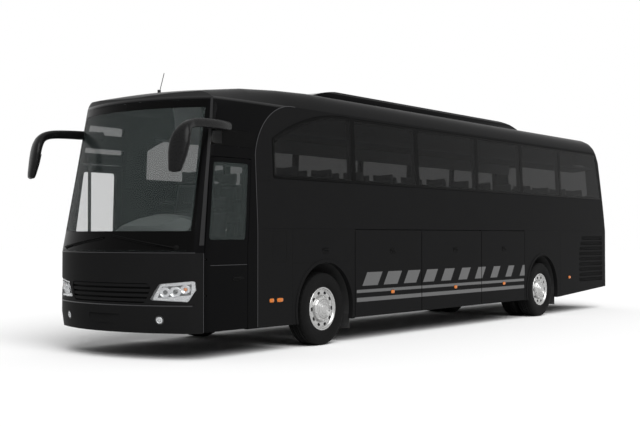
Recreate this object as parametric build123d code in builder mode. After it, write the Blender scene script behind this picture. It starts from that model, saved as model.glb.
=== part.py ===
"""Two-axle touring coach as separate panels, glass, running gear and cabin pieces.

Frame: +X forward, +Y to the coach's left, +Z up, origin on the ground in the middle of the overall box.
All sizes are millimetres.
"""
import os
from math import sqrt

from build123d import *

# Overall size
BODY_LENGTH = 12980.0
BODY_WIDTH = 2550.0
ROOF_Z = 3540.0
FAIRING_TOP_Z = 3645.0
SKIRT_Z = 333.0
FRONT_OVERHANG = 2920.0
WHEELBASE = 6890.0
MIRROR_REACH = 150.0

# Walls, glass and clearances
WALL = 60.0
GLASS_T = 8.0
SEAT_GAP = 0.4
MOVE_GAP = 6.0
DOOR_GAP = 10.0
RUN_FIT = 0.05
REACH = 2500.0

# Heights of the panel joints
BUMPER_TOP_Z = 685.0
SEAM_Z = 1310.0
WAIST_Z = 1615.0
WINDOW_LOW_Z = 2275.0
WINDOW_TOP_Z = 3215.0
ROOF_SPLIT_Z = 3255.0
REAR_BUMPER_TOP_Z = 720.0

# Body form
TUMBLE = 0.047
ROOF_CROWN = 45.0
ROOF_CORNER_R = 260.0
FRONT_BOW_R = 2300.0
FRONT_CORNER_R = 300.0
REAR_CORNER_R = 150.0
FRONT_LEAN = 0.2235
REAR_LEAN = 0.211
REAR_KINK_Z = WAIST_Z
TUCK = 35.0

# Stations along the coach
HALF = BODY_WIDTH / 2
NOSE_X = (BODY_LENGTH + MIRROR_REACH) / 2 - MIRROR_REACH
TAIL_X = NOSE_X - BODY_LENGTH
FRONT_AXLE_X = NOSE_X - FRONT_OVERHANG
REAR_AXLE_X = FRONT_AXLE_X - WHEELBASE
MIRROR_X = NOSE_X + MIRROR_REACH
DOOR_FRONT_X = NOSE_X - 480
DRIVER_DOOR_REAR_X = NOSE_X - 1260
MODULE_X = NOSE_X - 1460
FRONT_DOOR_REAR_X = MODULE_X + 65
BAY_FRONT_X = FRONT_AXLE_X - 715
BAY_REAR_X = REAR_AXLE_X + 740
BAY_LENGTH = BAY_FRONT_X - BAY_REAR_X
MID_DOOR_REAR_X = BAY_REAR_X + 100
MID_DOOR_FRONT_X = MID_DOOR_REAR_X + 900
STEP_X = MODULE_X - 40
FRONT_EDGE_X = DOOR_FRONT_X + DOOR_GAP

# Wheels
WHEEL_R = 505.0
TYRE_W = 295.0
RIM_R = 286.0
FLANGE_R = 298.5
TYRE_OUT_Y = HALF - 30
TYRE_Y = TYRE_OUT_Y - TYRE_W / 2
TWIN_PITCH = 345.0
ARCH_R = 640.0
KINGPIN_Y = 930.0
KINGPIN_R = 22.0
FRONT_SPINDLE_R = 40.0
REAR_SPINDLE_R = 45.0

# Cabin
FLOOR_Z = 1390.0
FLOOR_T = 50.0
PLATFORM_Z = 950.0
PAN_Z = 380.0
STEP_Z = 380.0

# Doors and lids
DOOR_LOW_Z = 345.0
DOOR_KINK_Z = 1300.0
DOOR_TOP_Z = 2490.0
DOOR_LEAN = 150.0
MID_DOOR_TOP_Z = 2240.0
FLAP_LOW_Z = 342.0
FLAP_TOP_Z = WAIST_Z - 12
PIN_R = 7.0
PIN_IN = 12.0
EAR_T = 8.0
LID_HALF = 850.0
LID_LOW_Z = 760.0
LID_TOP_Z = 1570.0

# Plan outlines: height, how far the nose and the tail stand back there
PLAN_ROWS = (
    (SKIRT_Z, TUCK, 0.0),
    (SKIRT_Z + 190, 0.0, 0.0),
    (SEAM_Z, 0.0, 0.0),
    (REAR_KINK_Z, FRONT_LEAN * (REAR_KINK_Z - SEAM_Z), 0.0),
    (ROOF_Z + 100, FRONT_LEAN * (ROOF_Z + 100 - SEAM_Z), REAR_LEAN * (ROOF_Z + 100 - REAR_KINK_Z)),
)

# Roof line: distance behind the nose and drop below the crest, then the same ahead of the tail
FRONT_ROOF_ROWS = (
    (2820.0, 0.0), (2160.0, 26.0), (1450.0, 76.0), (780.0, 165.0), (550.0, 215.0),
    (470.0, 246.0), (330.0, 340.0), (-80.0, 700.0),
)
REAR_ROOF_ROWS = ((-80.0, 760.0), (340.0, 220.0), (400.0, 120.0), (460.0, 62.0), (560.0, 22.0), (750.0, 0.0))

# Side window edges from the front window to the tail
WINDOW_EDGES = (
    FRONT_AXLE_X + 1110, FRONT_AXLE_X - 711, FRONT_AXLE_X - 2457,
    FRONT_AXLE_X - 4399, REAR_AXLE_X + 803, REAR_AXLE_X - 863,
)
PANE_GAP = 12.0
PILLAR = 55.0

# Luggage flap edges on the two sides
FLAP_SHARES = (0.0, 0.336, 0.696, 1.0)
LEFT_FLAP_X = tuple(BAY_FRONT_X - share * BAY_LENGTH for share in FLAP_SHARES)
RIGHT_FLAP_X = (LEFT_FLAP_X[0], LEFT_FLAP_X[1], MID_DOOR_FRONT_X + 60)


def tail_at(z):
    """Where the rear face stands at a height."""
    return TAIL_X + REAR_LEAN * max(0.0, z - REAR_KINK_Z)


def side_at(z):
    """Half width of the outer side at a height."""
    return HALF - TUMBLE * max(0.0, z - WAIST_Z)


def block(x, y, z):
    """A box from low and high pairs."""
    with BuildPart() as made:
        with Locations(((x[0] + x[1]) / 2, (y[0] + y[1]) / 2, (z[0] + z[1]) / 2)):
            Box(x[1] - x[0], y[1] - y[0], z[1] - z[0])
    return made.part


def outline(plane, points, radius=0.0):
    """A closed outline of straight edges on a plane, with its corners rounded."""
    with BuildSketch(plane) as made:
        with BuildLine():
            Polyline(*points, close=True)
        make_face()
        if radius:
            fillet(made.vertices(), radius)
    return made.sketch


def across(shape):
    """A side view outline carried right across the coach."""
    with BuildPart() as made:
        extrude(shape, amount=REACH, both=True)
    return made.part


def through(shape, side):
    """A side view outline carried through one side of the coach."""
    with BuildPart() as made:
        extrude(shape, amount=-side * REACH)
    return made.part


def endways(shape, from_x, to_x):
    """A front view outline carried along the coach."""
    with BuildPart() as made:
        extrude(shape, amount=to_x - from_x)
    return made.part.moved(Location((from_x, 0, 0)))


def plan_section(z, nose_back, tail_in, inset):
    """Plan outline at one height: bowed nose, rounded corners and a straight tail."""
    half = HALF - inset
    nose = NOSE_X - nose_back - inset
    tail = TAIL_X + tail_in + inset
    shoulder = nose - (FRONT_BOW_R - sqrt(FRONT_BOW_R**2 - half**2))
    with BuildSketch(Plane.XY.offset(z)) as section:
        with BuildLine():
            ThreePointArc((shoulder, -half), (nose, 0), (shoulder, half))
            Polyline((shoulder, half), (tail, half), (tail, -half), (shoulder, -half))
        make_face()
        fillet(section.vertices().group_by(Axis.X)[-1], FRONT_CORNER_R - inset)
        fillet(section.vertices().group_by(Axis.X)[0], REAR_CORNER_R - inset)
    return section.sketch


def roof_section(x, drop, inset):
    """Cross section of the sides and the crowned roof at one station."""
    corner_z = ROOF_Z - drop - inset - ROOF_CROWN
    low_z = SKIRT_Z - 200
    low_y = HALF - inset - TUMBLE * (low_z - WAIST_Z)
    corner_y = HALF - inset - TUMBLE * (corner_z - WAIST_Z)
    with BuildSketch(Plane.YZ.offset(x)) as section:
        with BuildLine():
            ThreePointArc((corner_y, corner_z), (0, corner_z + ROOF_CROWN), (-corner_y, corner_z))
            Polyline((-corner_y, corner_z), (-low_y, low_z), (low_y, low_z), (corner_y, corner_z))
        make_face()
        fillet(section.vertices().group_by(Axis.Y)[-1], ROOF_CORNER_R - inset)
    return section.sketch


def roof_tube(inset):
    """Sides and roof along the whole coach, with the roof falling at both ends."""
    front = [roof_section(NOSE_X - back, drop, inset) for back, drop in FRONT_ROOF_ROWS]
    rear = [roof_section(TAIL_X + ahead, drop, inset) for ahead, drop in REAR_ROOF_ROWS]
    straight = NOSE_X - FRONT_ROOF_ROWS[0][0] - (TAIL_X + REAR_ROOF_ROWS[-1][0])
    with BuildPart() as tube:
        extrude(rear[-1], amount=straight)
        loft(sections=front, ruled=True)
        loft(sections=rear, ruled=True)
    return tube.part


def envelope(inset):
    """The body's outer form drawn in by an inset and open below when it is drawn in."""
    rows = [(z - (200 if inset > 0 and z == SKIRT_Z else 0), nose, tail) for z, nose, tail in PLAN_ROWS]
    sections = [plan_section(z, nose, tail, inset) for z, nose, tail in rows]
    tube = roof_tube(inset)
    with BuildPart() as body:
        loft(sections=sections, ruled=True)
        add(tube, mode=Mode.INTERSECT)
    return body.part


WIPER_OUT = 24.0
LAMP_DEEP = 45.0
GRILLE_DEEP = 40.0
GRILLE_FACE = 8.0
SKINS = {
    depth: envelope(depth)
    for depth in (
        -WIPER_OUT, -SEAT_GAP, 0.0, GLASS_T, GLASS_T + SEAT_GAP, GRILLE_DEEP, GRILLE_DEEP - SEAT_GAP,
        LAMP_DEEP, LAMP_DEEP - SEAT_GAP, WALL, WALL + SEAT_GAP,
    )
}


def skin(prism, near, far):
    """The layer of the body between two depths, within a prism."""
    with BuildPart() as made:
        add(prism)
        add(SKINS[near], mode=Mode.INTERSECT)
        add(SKINS[far], mode=Mode.SUBTRACT)
    return made.part


def side_layer(low_z, high_z, near, far):
    """The flat left side between two heights and two depths, along the whole coach."""
    levels = [low_z, WAIST_Z, high_z] if low_z < WAIST_Z < high_z else [low_z, high_z]
    points = [(side_at(z) - near, z) for z in levels]
    back = [(side_at(z) - far, z) for z in reversed(levels)]
    return endways(outline(Plane.YZ, points + back), TAIL_X, NOSE_X)


def cut_from(piece, prism):
    """What a piece keeps within a prism."""
    with BuildPart() as made:
        add(piece)
        add(prism, mode=Mode.INTERSECT)
    return made.part


def mirrored(piece):
    """The same piece on the other side."""
    with BuildPart() as made:
        mirror(piece, about=Plane.XZ)
    return made.part


def save(piece, label):
    """Write one piece to its own file."""
    piece.label = label
    export_step(piece, f"parts/{label}.step")


os.makedirs("parts", exist_ok=True)

# Side walls with their window band
SWOOSH_Z = 2560.0
SWOOSH_END_X = NOSE_X - 2330


def swoosh(piece_points):
    """Outline whose one edge is the curve from the front module up into the roof."""
    with BuildSketch(Plane.XZ) as made:
        with BuildLine():
            ThreePointArc((MODULE_X, SWOOSH_Z), (MODULE_X - 225, SWOOSH_Z + 455), (SWOOSH_END_X, ROOF_SPLIT_Z))
            Polyline((SWOOSH_END_X, ROOF_SPLIT_Z), *piece_points, (MODULE_X, SWOOSH_Z))
        make_face()
    return made.sketch


def window(index, grow):
    """Outline of one side pane, grown or shrunk."""
    front = WINDOW_EDGES[index] - PANE_GAP / 2 + grow
    low = WINDOW_LOW_Z - grow
    top = WINDOW_TOP_Z + grow
    if index == len(WINDOW_EDGES) - 1:
        rear = [tail_at(z) + REAR_CORNER_R + 20 - grow for z in (top, low)]
    else:
        rear = [WINDOW_EDGES[index + 1] + PANE_GAP / 2 - grow] * 2
    if index:
        return outline(Plane.XZ, [(front, low), (front, top), (rear[0], top), (rear[1], low)], 45 + grow * 0.4)
    with BuildSketch(Plane.XZ) as made:
        with BuildLine():
            ThreePointArc((front, low + 520 + 2 * grow), (front - 700, top - 125), (rear[0], top))
            Polyline((rear[0], top), (rear[1], low), (front, low), (front, low + 520 + 2 * grow))
        make_face()
        fillet(made.vertices(), 45 + grow * 0.4)
    return made.sketch


PANES = range(len(WINDOW_EDGES))
WALL_TAIL = REAR_CORNER_R + 10
pane_layer = side_layer(WAIST_Z, ROOF_SPLIT_Z, 0.0, GLASS_T)
seat_layer = side_layer(WAIST_Z, ROOF_SPLIT_Z, -1.0, GLASS_T + SEAT_GAP)


def flap_pin(x, side, length, radius):
    """A round pin along the coach on a flap's hinge axis."""
    with BuildPart() as made:
        with Locations(Location((x, side * (HALF - PIN_IN), FLAP_TOP_Z - PIN_IN), (0, 90, 0))):
            Cylinder(radius, length)
    return made.part


def wall(edges):
    """A left side wall with window seats, openings and the ears that carry the flaps."""
    shape = swoosh([
        (tail_at(ROOF_SPLIT_Z) + WALL_TAIL, ROOF_SPLIT_Z), (tail_at(WAIST_Z) + WALL_TAIL, WAIST_Z),
        (MODULE_X, WAIST_Z),
    ])
    with BuildPart() as made:
        add(side_layer(WAIST_Z, ROOF_SPLIT_Z, 0.0, WALL))
        add(through(shape, 1), mode=Mode.INTERSECT)
        for index in PANES:
            add(cut_from(seat_layer, through(window(index, PANE_GAP / 2 + 1), 1)), mode=Mode.SUBTRACT)
            add(through(window(index, -PILLAR), 1), mode=Mode.SUBTRACT)
        for x in edges:
            add(block((x - EAR_T / 2, x + EAR_T / 2), (HALF - 40, HALF - 3), (WAIST_Z - 40, WAIST_Z + 1)))
            add(flap_pin(x, 1, EAR_T + 2, PIN_R + RUN_FIT), mode=Mode.SUBTRACT)
    return made.part


MID_POST_X = (MID_DOOR_FRONT_X + DOOR_GAP, RIGHT_FLAP_X[2] + EAR_T / 2)
mid_door_hole = through(
    outline(Plane.XZ, [
        (MID_DOOR_REAR_X - DOOR_GAP, 0), (MID_DOOR_FRONT_X + DOOR_GAP, 0),
        (MID_DOOR_FRONT_X + DOOR_GAP, MID_DOOR_TOP_Z + DOOR_GAP),
        (MID_DOOR_REAR_X - DOOR_GAP, MID_DOOR_TOP_Z + DOOR_GAP),
    ]), -1)

with BuildPart() as left_wall:
    add(wall(LEFT_FLAP_X))
save(left_wall.part, "left_wall")

with BuildPart() as right_wall:
    add(mirrored(wall(RIGHT_FLAP_X)))
    add(block(MID_POST_X, (-HALF, -HALF + WALL), (SKIRT_Z, WAIST_Z + 1)))
    add(flap_pin(RIGHT_FLAP_X[2], -1, EAR_T + 2, PIN_R + RUN_FIT), mode=Mode.SUBTRACT)
    add(mid_door_hole, mode=Mode.SUBTRACT)
save(right_wall.part, "right_wall")

# Skirts around the wheel openings, with the louvred quarter at the rear
LOUVRE_X = (TAIL_X + 290, TAIL_X + 1450)
LOUVRE_ROWS = tuple(600 + 105 * row for row in range(9))
RISE_X = REAR_AXLE_X - 755
RISE_Z = 130.0
LIP_W = 42.0
LIP_OUT = 14.0


def skirt_bottom(x):
    """Lower edge of the rear quarter, which rises behind the rear wheel."""
    return SKIRT_Z + RISE_Z * max(0.0, RISE_X - x) / (RISE_X - TAIL_X)


def skirt(front_x, rear_x, axle_x):
    """One fixed left skirt panel with its wheel opening."""
    low_rear = skirt_bottom(rear_x)
    points = [(front_x, SKIRT_Z), (front_x, WAIST_Z), (rear_x, WAIST_Z), (rear_x, low_rear)]
    if low_rear > SKIRT_Z:
        points.append((RISE_X, SKIRT_Z))
    with BuildPart() as made:
        add(side_layer(SKIRT_Z, WAIST_Z, 0.0, WALL))
        add(through(outline(Plane.XZ, points), 1), mode=Mode.INTERSECT)
        with Locations(Location((axle_x, HALF, WHEEL_R), (90, 0, 0))):
            Cylinder(ARCH_R + LIP_W, 2 * LIP_OUT)
            Cylinder(ARCH_R, 3 * WALL, mode=Mode.SUBTRACT)
        add(through(outline(Plane.XZ, points), 1), mode=Mode.INTERSECT)
        if low_rear > SKIRT_Z:
            for z in LOUVRE_ROWS:
                step = 0.5 * max(0.0, z - 1200)
                add(block((LOUVRE_X[0], LOUVRE_X[1] - step), (HALF - 28, HALF + 5), (z, z + 62)), mode=Mode.SUBTRACT)
    return made.part


QUARTER_X = TAIL_X + WALL_TAIL
SKIRT_ROWS = (
    (1, MODULE_X, LEFT_FLAP_X[0] + EAR_T / 2 + SEAT_GAP, FRONT_AXLE_X),
    (1, LEFT_FLAP_X[3] - EAR_T / 2 - SEAT_GAP, QUARTER_X, REAR_AXLE_X),
    (-1, MODULE_X, RIGHT_FLAP_X[0] + EAR_T / 2 + SEAT_GAP, FRONT_AXLE_X),
    (-1, MID_DOOR_REAR_X - DOOR_GAP, QUARTER_X, REAR_AXLE_X),
)
with BuildPart() as side_skirts:
    for side, front_x, rear_x, axle_x in SKIRT_ROWS:
        panel = skirt(front_x, rear_x, axle_x)
        add(panel if side > 0 else mirrored(panel))
save(side_skirts.part, "side_skirts")

# Luggage flaps, each with a hinge pin at both ends
FLAP_ROWS = (
    ("left_flap_front", 1, LEFT_FLAP_X[0], LEFT_FLAP_X[1]),
    ("left_flap_middle", 1, LEFT_FLAP_X[1], LEFT_FLAP_X[2]),
    ("left_flap_rear", 1, LEFT_FLAP_X[2], LEFT_FLAP_X[3]),
    ("right_flap_front", -1, RIGHT_FLAP_X[0], RIGHT_FLAP_X[1]),
    ("right_flap_middle", -1, RIGHT_FLAP_X[1], RIGHT_FLAP_X[2]),
)
FLAP_END = EAR_T / 2 + MOVE_GAP
for label, side, front_x, rear_x in FLAP_ROWS:
    with BuildPart() as flap:
        add(block((rear_x + FLAP_END, front_x - FLAP_END), (HALF - WALL, HALF), (FLAP_LOW_Z, FLAP_TOP_Z)))
        for end_x, way in ((front_x - FLAP_END, 1), (rear_x + FLAP_END, -1)):
            add(flap_pin(end_x + way * (MOVE_GAP + 3) / 2 - way, 1, MOVE_GAP + 5, PIN_R))
    save(flap.part if side > 0 else mirrored(flap.part), label)

# Driver's door, front passenger door and their openings
PIN_X = DOOR_FRONT_X - 7
PIN_Y = HALF - 17
DOOR_PIN_R = 5.0
HINGE_ROWS = (790.0, 1230.0)
EAR_HALF = 6.0


def door_outline(rear_low, rear_top, grow):
    """Outline of a front door, grown or shrunk."""
    return outline(Plane.XZ, [
        (rear_low - grow, DOOR_LOW_Z - grow), (DOOR_FRONT_X + grow, DOOR_LOW_Z - grow),
        (DOOR_FRONT_X + grow, DOOR_KINK_Z), (DOOR_FRONT_X - DOOR_LEAN + grow, DOOR_TOP_Z + grow),
        (rear_top - grow, DOOR_TOP_Z + grow), (rear_low - grow, DOOR_KINK_Z + 100),
    ])


def door_window(rear_low, rear_top, inset):
    """Outline of a front door's glass."""
    low = 1470 + inset
    top = DOOR_TOP_Z - 60 - inset
    lean = DOOR_LEAN / (DOOR_TOP_Z - DOOR_KINK_Z)
    front = [DOOR_FRONT_X - 45 - inset - lean * (z - DOOR_KINK_Z) for z in (low, top)]
    return outline(Plane.XZ, [
        (rear_low + 50 + inset, low), (front[0], low), (front[1], top), (rear_top + 60 + inset, top),
    ], 40)


def front_door_panel(side, rear_low, rear_top):
    """A front door with a seat and an opening for its glass."""
    with BuildPart() as made:
        add(skin(through(door_outline(rear_low, rear_top, 0.0), side), 0.0, WALL))
        add(skin(through(door_window(rear_low, rear_top, -1.0), side), 0.0, GLASS_T + SEAT_GAP),
            mode=Mode.SUBTRACT)
        add(through(door_window(rear_low, rear_top, 40.0), side), mode=Mode.SUBTRACT)
    return made.part


DRIVER_DOOR = (DRIVER_DOOR_REAR_X, DRIVER_DOOR_REAR_X - 110)
FRONT_DOOR = (FRONT_DOOR_REAR_X, FRONT_DOOR_REAR_X)
with BuildPart() as driver_door:
    add(front_door_panel(1, *DRIVER_DOOR))
    for z in HINGE_ROWS:
        add(block((PIN_X - 24, DOOR_FRONT_X + 5), (HALF - WALL - 5, HALF + 5), (z - 12, z + 12)), mode=Mode.SUBTRACT)
        with Locations((PIN_X, PIN_Y, z)):
            Cylinder(DOOR_PIN_R, 40)
save(driver_door.part, "driver_door")

with BuildPart() as driver_door_glass:
    add(skin(through(door_window(*DRIVER_DOOR, 0.0), 1), 0.0, GLASS_T))
save(driver_door_glass.part, "driver_door_glass")

# Front frame: pillars, header, windscreen surround and door posts
SCREEN = ((1195.0, 1330.0), (1105.0, 3205.0))
SCREEN_SHOW_Z = 1560.0


def screen_outline(inset, low_inset):
    """Outline of the windscreen, shrunk at its sides and at its lower edge."""
    low_y, low_z = SCREEN[0][0] - inset, SCREEN[0][1] + low_inset
    top_y, top_z = SCREEN[1][0] - inset, SCREEN[1][1] - inset
    return outline(Plane.YZ, [(-low_y, low_z), (low_y, low_z), (top_y, top_z), (-top_y, top_z)], 90)


def screen_prism(inset, low_inset):
    """The windscreen outline carried through the front of the body."""
    return endways(screen_outline(inset, low_inset), NOSE_X - 1200, NOSE_X + 200)


QUARTER_ROWS = ((1, 2640.0, 2850.0), (-1, 2625.0, 2745.0), (-1, 2885.0, 3055.0))


def quarter_outline(low_z, top_z, inset):
    """Outline of a small window above a front door."""
    low, top = low_z + inset, top_z - inset
    front = [DOOR_FRONT_X - 150 - 0.2 * (z - 2640) - inset for z in (low_z, top_z)]
    return outline(Plane.XZ, [
        (MODULE_X + 30 + inset, low), (front[0], low), (front[1], top), (MODULE_X + 10 + inset, top),
    ], 30)


COLUMN_X = DOOR_FRONT_X - 260
COLUMN_Y = HALF - 165
COLUMN_R = 22.0
COLUMN_TOP_Z = DOOR_TOP_Z + DOOR_GAP
with BuildPart() as front_frame:
    add(skin(across(swoosh([
        (NOSE_X + 100, ROOF_SPLIT_Z), (NOSE_X + 100, SKIRT_Z - 5), (MODULE_X, SKIRT_Z - 5),
    ])), 0.0, WALL))
    add(block((DOOR_FRONT_X - 30, NOSE_X + 100), (-HALF - 50, HALF + 50), (0, SEAM_Z)), mode=Mode.SUBTRACT)
    for side, door in ((1, DRIVER_DOOR), (-1, FRONT_DOOR)):
        add(through(door_outline(*door[:2], DOOR_GAP), side), mode=Mode.SUBTRACT)
        add(block((DRIVER_DOOR_REAR_X, NOSE_X), (side * HALF, side * (HALF - 2 * WALL)) if side < 0 else
                  (HALF - 2 * WALL, HALF), (0, DOOR_LOW_Z)), mode=Mode.SUBTRACT)
    for side, low_z, top_z in QUARTER_ROWS:
        add(skin(through(quarter_outline(low_z, top_z, -1.0), side), 0.0, GLASS_T + SEAT_GAP), mode=Mode.SUBTRACT)
        add(through(quarter_outline(low_z, top_z, 25.0), side), mode=Mode.SUBTRACT)
    add(skin(screen_prism(-1.0, -1.0), 0.0, GLASS_T + SEAT_GAP), mode=Mode.SUBTRACT)
    add(screen_prism(60.0, SCREEN_SHOW_Z - SCREEN[0][1]), mode=Mode.SUBTRACT)
    add(block((COLUMN_X - 45, COLUMN_X + 45), (-side_at(2600) + 10, -COLUMN_Y + 40), (COLUMN_TOP_Z, 2620)))
save(front_frame.part, "front_frame")

with BuildPart() as windscreen:
    add(skin(screen_prism(0.0, 0.0), 0.0, GLASS_T))
save(windscreen.part, "windscreen")

# Front panel with lamps, grille and the ears of the driver's door
LAMP_POINTS = ((700.0, 735.0), (815.0, 932.0), (1216.0, 972.0), (1224.0, 860.0), (1150.0, 716.0))
FOG_Y, FOG_Z, FOG_R = 820.0, 495.0, 58.0
GRILLE = ((640.0, 700.0), (735.0, 940.0))
GRILLE_BARS = (716.0, 776.0, 836.0, 896.0)
BAR_H = 36.0


def lamp_outline(side, inset):
    """Outline of a headlamp, a little smaller for the lamp than for its pocket."""
    centre_y = sum(y for y, z in LAMP_POINTS) / len(LAMP_POINTS)
    centre_z = sum(z for y, z in LAMP_POINTS) / len(LAMP_POINTS)
    share = 1 - inset / 130
    points = [(side * (centre_y + share * (y - centre_y)), centre_z + share * (z - centre_z)) for y, z in LAMP_POINTS]
    return outline(Plane.YZ, points, 18)


def fog_outline(side, radius):
    """Round outline of a fog lamp."""
    with BuildSketch(Plane.YZ) as made:
        with Locations((side * FOG_Y, FOG_Z)):
            Circle(radius)
    return made.sketch


def front_prism(shape):
    """A front view outline carried through the front face."""
    return endways(shape, FRONT_EDGE_X + 8, NOSE_X + 100)


def grille_outline(inset):
    """Outline of the grille opening."""
    (low_y, low_z), (top_y, top_z) = GRILLE
    low_y, top_y = low_y - inset, top_y - inset
    return outline(Plane.YZ, [(-low_y, low_z), (low_y, low_z), (top_y, top_z), (-top_y, top_z)], 60)


with BuildPart() as front_panel:
    add(skin(block((FRONT_EDGE_X, NOSE_X + 100), (-HALF - 50, HALF + 50), (BUMPER_TOP_Z, SEAM_Z)), 0.0, WALL))
    for side in (1, -1):
        add(skin(front_prism(lamp_outline(side, 0.0)), 0.0, LAMP_DEEP), mode=Mode.SUBTRACT)
    add(skin(front_prism(grille_outline(0.0)), 0.0, GRILLE_DEEP), mode=Mode.SUBTRACT)
    for z in HINGE_ROWS:
        add(block((PIN_X - 11, FRONT_EDGE_X + 30), (PIN_Y - 30, PIN_Y - 1), (z - EAR_HALF, z + EAR_HALF)))
        add(block((PIN_X - 11, FRONT_EDGE_X + 5), (PIN_Y - 30, PIN_Y + 7), (z - EAR_HALF, z + EAR_HALF)))
        with Locations((PIN_X, PIN_Y, z)):
            Cylinder(DOOR_PIN_R + RUN_FIT, 40, mode=Mode.SUBTRACT)
save(front_panel.part, "front_panel")

with BuildPart() as front_grille:
    for z in GRILLE_BARS:
        add(cut_from(
            skin(front_prism(grille_outline(1.0)), GLASS_T, GRILLE_DEEP - SEAT_GAP),
            block((NOSE_X - 600, NOSE_X + 100), (-HALF, HALF), (z, z + BAR_H))))
save(front_grille.part, "front_grille")

PLATE_HALF, PLATE_Z = 275.0, (430.0, 560.0)
with BuildPart() as front_bumper:
    add(skin(block((FRONT_EDGE_X, NOSE_X + 100), (-HALF - 50, HALF + 50), (SKIRT_Z, BUMPER_TOP_Z)), 0.0, WALL))
    for side in (1, -1):
        add(skin(front_prism(fog_outline(side, FOG_R)), 0.0, LAMP_DEEP), mode=Mode.SUBTRACT)
    add(block((NOSE_X - 25, NOSE_X + 50), (-PLATE_HALF, PLATE_HALF), PLATE_Z), mode=Mode.SUBTRACT)
save(front_bumper.part, "front_bumper")

with BuildPart() as front_lamps:
    for side in (1, -1):
        add(skin(front_prism(lamp_outline(side, 1.0)), 0.0, LAMP_DEEP - SEAT_GAP))
        add(skin(front_prism(fog_outline(side, FOG_R - 1)), 0.0, LAMP_DEEP - SEAT_GAP))
save(front_lamps.part, "front_lamps")

# Wipers lying at the foot of the windscreen: pivot, elbow and tip of each
WIPER_ROWS = (((1010.0, 1372.0), (560.0, 1452.0), (130.0, 1530.0)), ((-930.0, 1372.0), (-500.0, 1440.0), (-40.0, 1505.0)))
with BuildPart() as wipers:
    for pivot, elbow, tip in WIPER_ROWS:
        points = [
            (pivot[0], pivot[1] - 22), (pivot[0], pivot[1] + 22), (elbow[0], elbow[1] + 20), (tip[0], tip[1] + 14),
            (tip[0], tip[1] - 14), (elbow[0], elbow[1] - 16),
        ]
        add(skin(front_prism(outline(Plane.YZ, points)), -WIPER_OUT, -SEAT_GAP))
save(wipers.part, "wipers")

# Roof, its fairing and the antenna
with BuildPart() as roof_panel:
    add(skin(block((TAIL_X - 100, NOSE_X + 100), (-HALF, HALF), (ROOF_SPLIT_Z, ROOF_Z + 50)), 0.0, WALL))
save(roof_panel.part, "roof_panel")

FAIRING_X = (FRONT_AXLE_X - 160, FRONT_AXLE_X - 6785)
FAIRING_RISE = (690.0, 900.0)
FAIRING_HALF = 880.0
FAIRING_CORNER_R = 260.0
with BuildSketch(Plane.XZ) as fairing_side:
    with BuildLine():
        rise_end, fall_start = FAIRING_X[0] - FAIRING_RISE[0], FAIRING_X[1] + FAIRING_RISE[1]
        front = ThreePointArc(
            (FAIRING_X[0] + 60, ROOF_Z - 50), (FAIRING_X[0] - 315, ROOF_Z + 52), (rise_end, FAIRING_TOP_Z))
        rear = ThreePointArc(
            (fall_start, FAIRING_TOP_Z), (FAIRING_X[1] + 400, ROOF_Z + 67), (FAIRING_X[1] - 60, ROOF_Z - 60))
        Line(front @ 1, rear @ 0)
        Polyline(rear @ 1, (FAIRING_X[1] - 60, ROOF_Z - 200), (FAIRING_X[0] + 60, ROOF_Z - 200), front @ 0)
    make_face()
with BuildSketch(Plane.YZ) as fairing_end:
    with BuildLine():
        Polyline(
            (-FAIRING_HALF, ROOF_Z - 150), (FAIRING_HALF, ROOF_Z - 150), (FAIRING_HALF - 22, FAIRING_TOP_Z - 36),
            (FAIRING_HALF - 88, FAIRING_TOP_Z + 40), (-FAIRING_HALF + 88, FAIRING_TOP_Z + 40),
            (-FAIRING_HALF + 22, FAIRING_TOP_Z - 36), close=True)
    make_face()
fairing_plan = outline(Plane.XY.offset(ROOF_Z - 150), [
    (FAIRING_X[0] + 60, -FAIRING_HALF), (FAIRING_X[0] + 60, FAIRING_HALF),
    (FAIRING_X[1] - 60, FAIRING_HALF), (FAIRING_X[1] - 60, -FAIRING_HALF)], FAIRING_CORNER_R)
with BuildPart() as roof_fairing:
    extrude(fairing_plan, amount=FAIRING_TOP_Z - ROOF_Z + 200)
    add(across(fairing_side.sketch), mode=Mode.INTERSECT)
    add(endways(fairing_end.sketch, TAIL_X, NOSE_X), mode=Mode.INTERSECT)
    add(SKINS[-SEAT_GAP], mode=Mode.SUBTRACT)
save(roof_fairing.part, "roof_fairing")

ANTENNA_X = NOSE_X - 970
with BuildPart() as antenna:
    with Locations(Location((ANTENNA_X - 30, 0, ROOF_Z - 10), (0, -18, 0))):
        Cylinder(5, 300)
    with Locations((ANTENNA_X + 15, 0, ROOF_Z - 130)):
        Cylinder(22, 60)
    add(SKINS[-SEAT_GAP], mode=Mode.SUBTRACT)
save(antenna.part, "antenna")

# Rear wall with the engine lid, rear window and lamps
REAR_GLASS_HALF, REAR_GLASS_Z = 980.0, (2290.0, 3080.0)
TAIL_LAMP_Y, TAIL_LAMP_Z = (1080.0, 1215.0), (900.0, 1530.0)


def rear_prism(shape):
    """A rear view outline carried through the rear face."""
    return endways(shape, TAIL_X - 50, TAIL_X + 700)


def rear_rect(half, low, high, radius):
    """A rounded outline in the middle of the rear face."""
    return outline(Plane.YZ, [(-half, low), (half, low), (half, high), (-half, high)], radius)


def tail_lamp(side, inset):
    """Outline of a tail lamp column."""
    low_y, high_y = TAIL_LAMP_Y[0] + inset, TAIL_LAMP_Y[1] - inset
    low_z, high_z = TAIL_LAMP_Z[0] + inset, TAIL_LAMP_Z[1] - inset
    return outline(Plane.YZ, [
        (side * low_y, low_z), (side * high_y, low_z), (side * high_y, high_z), (side * low_y, high_z)], 40)


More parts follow.
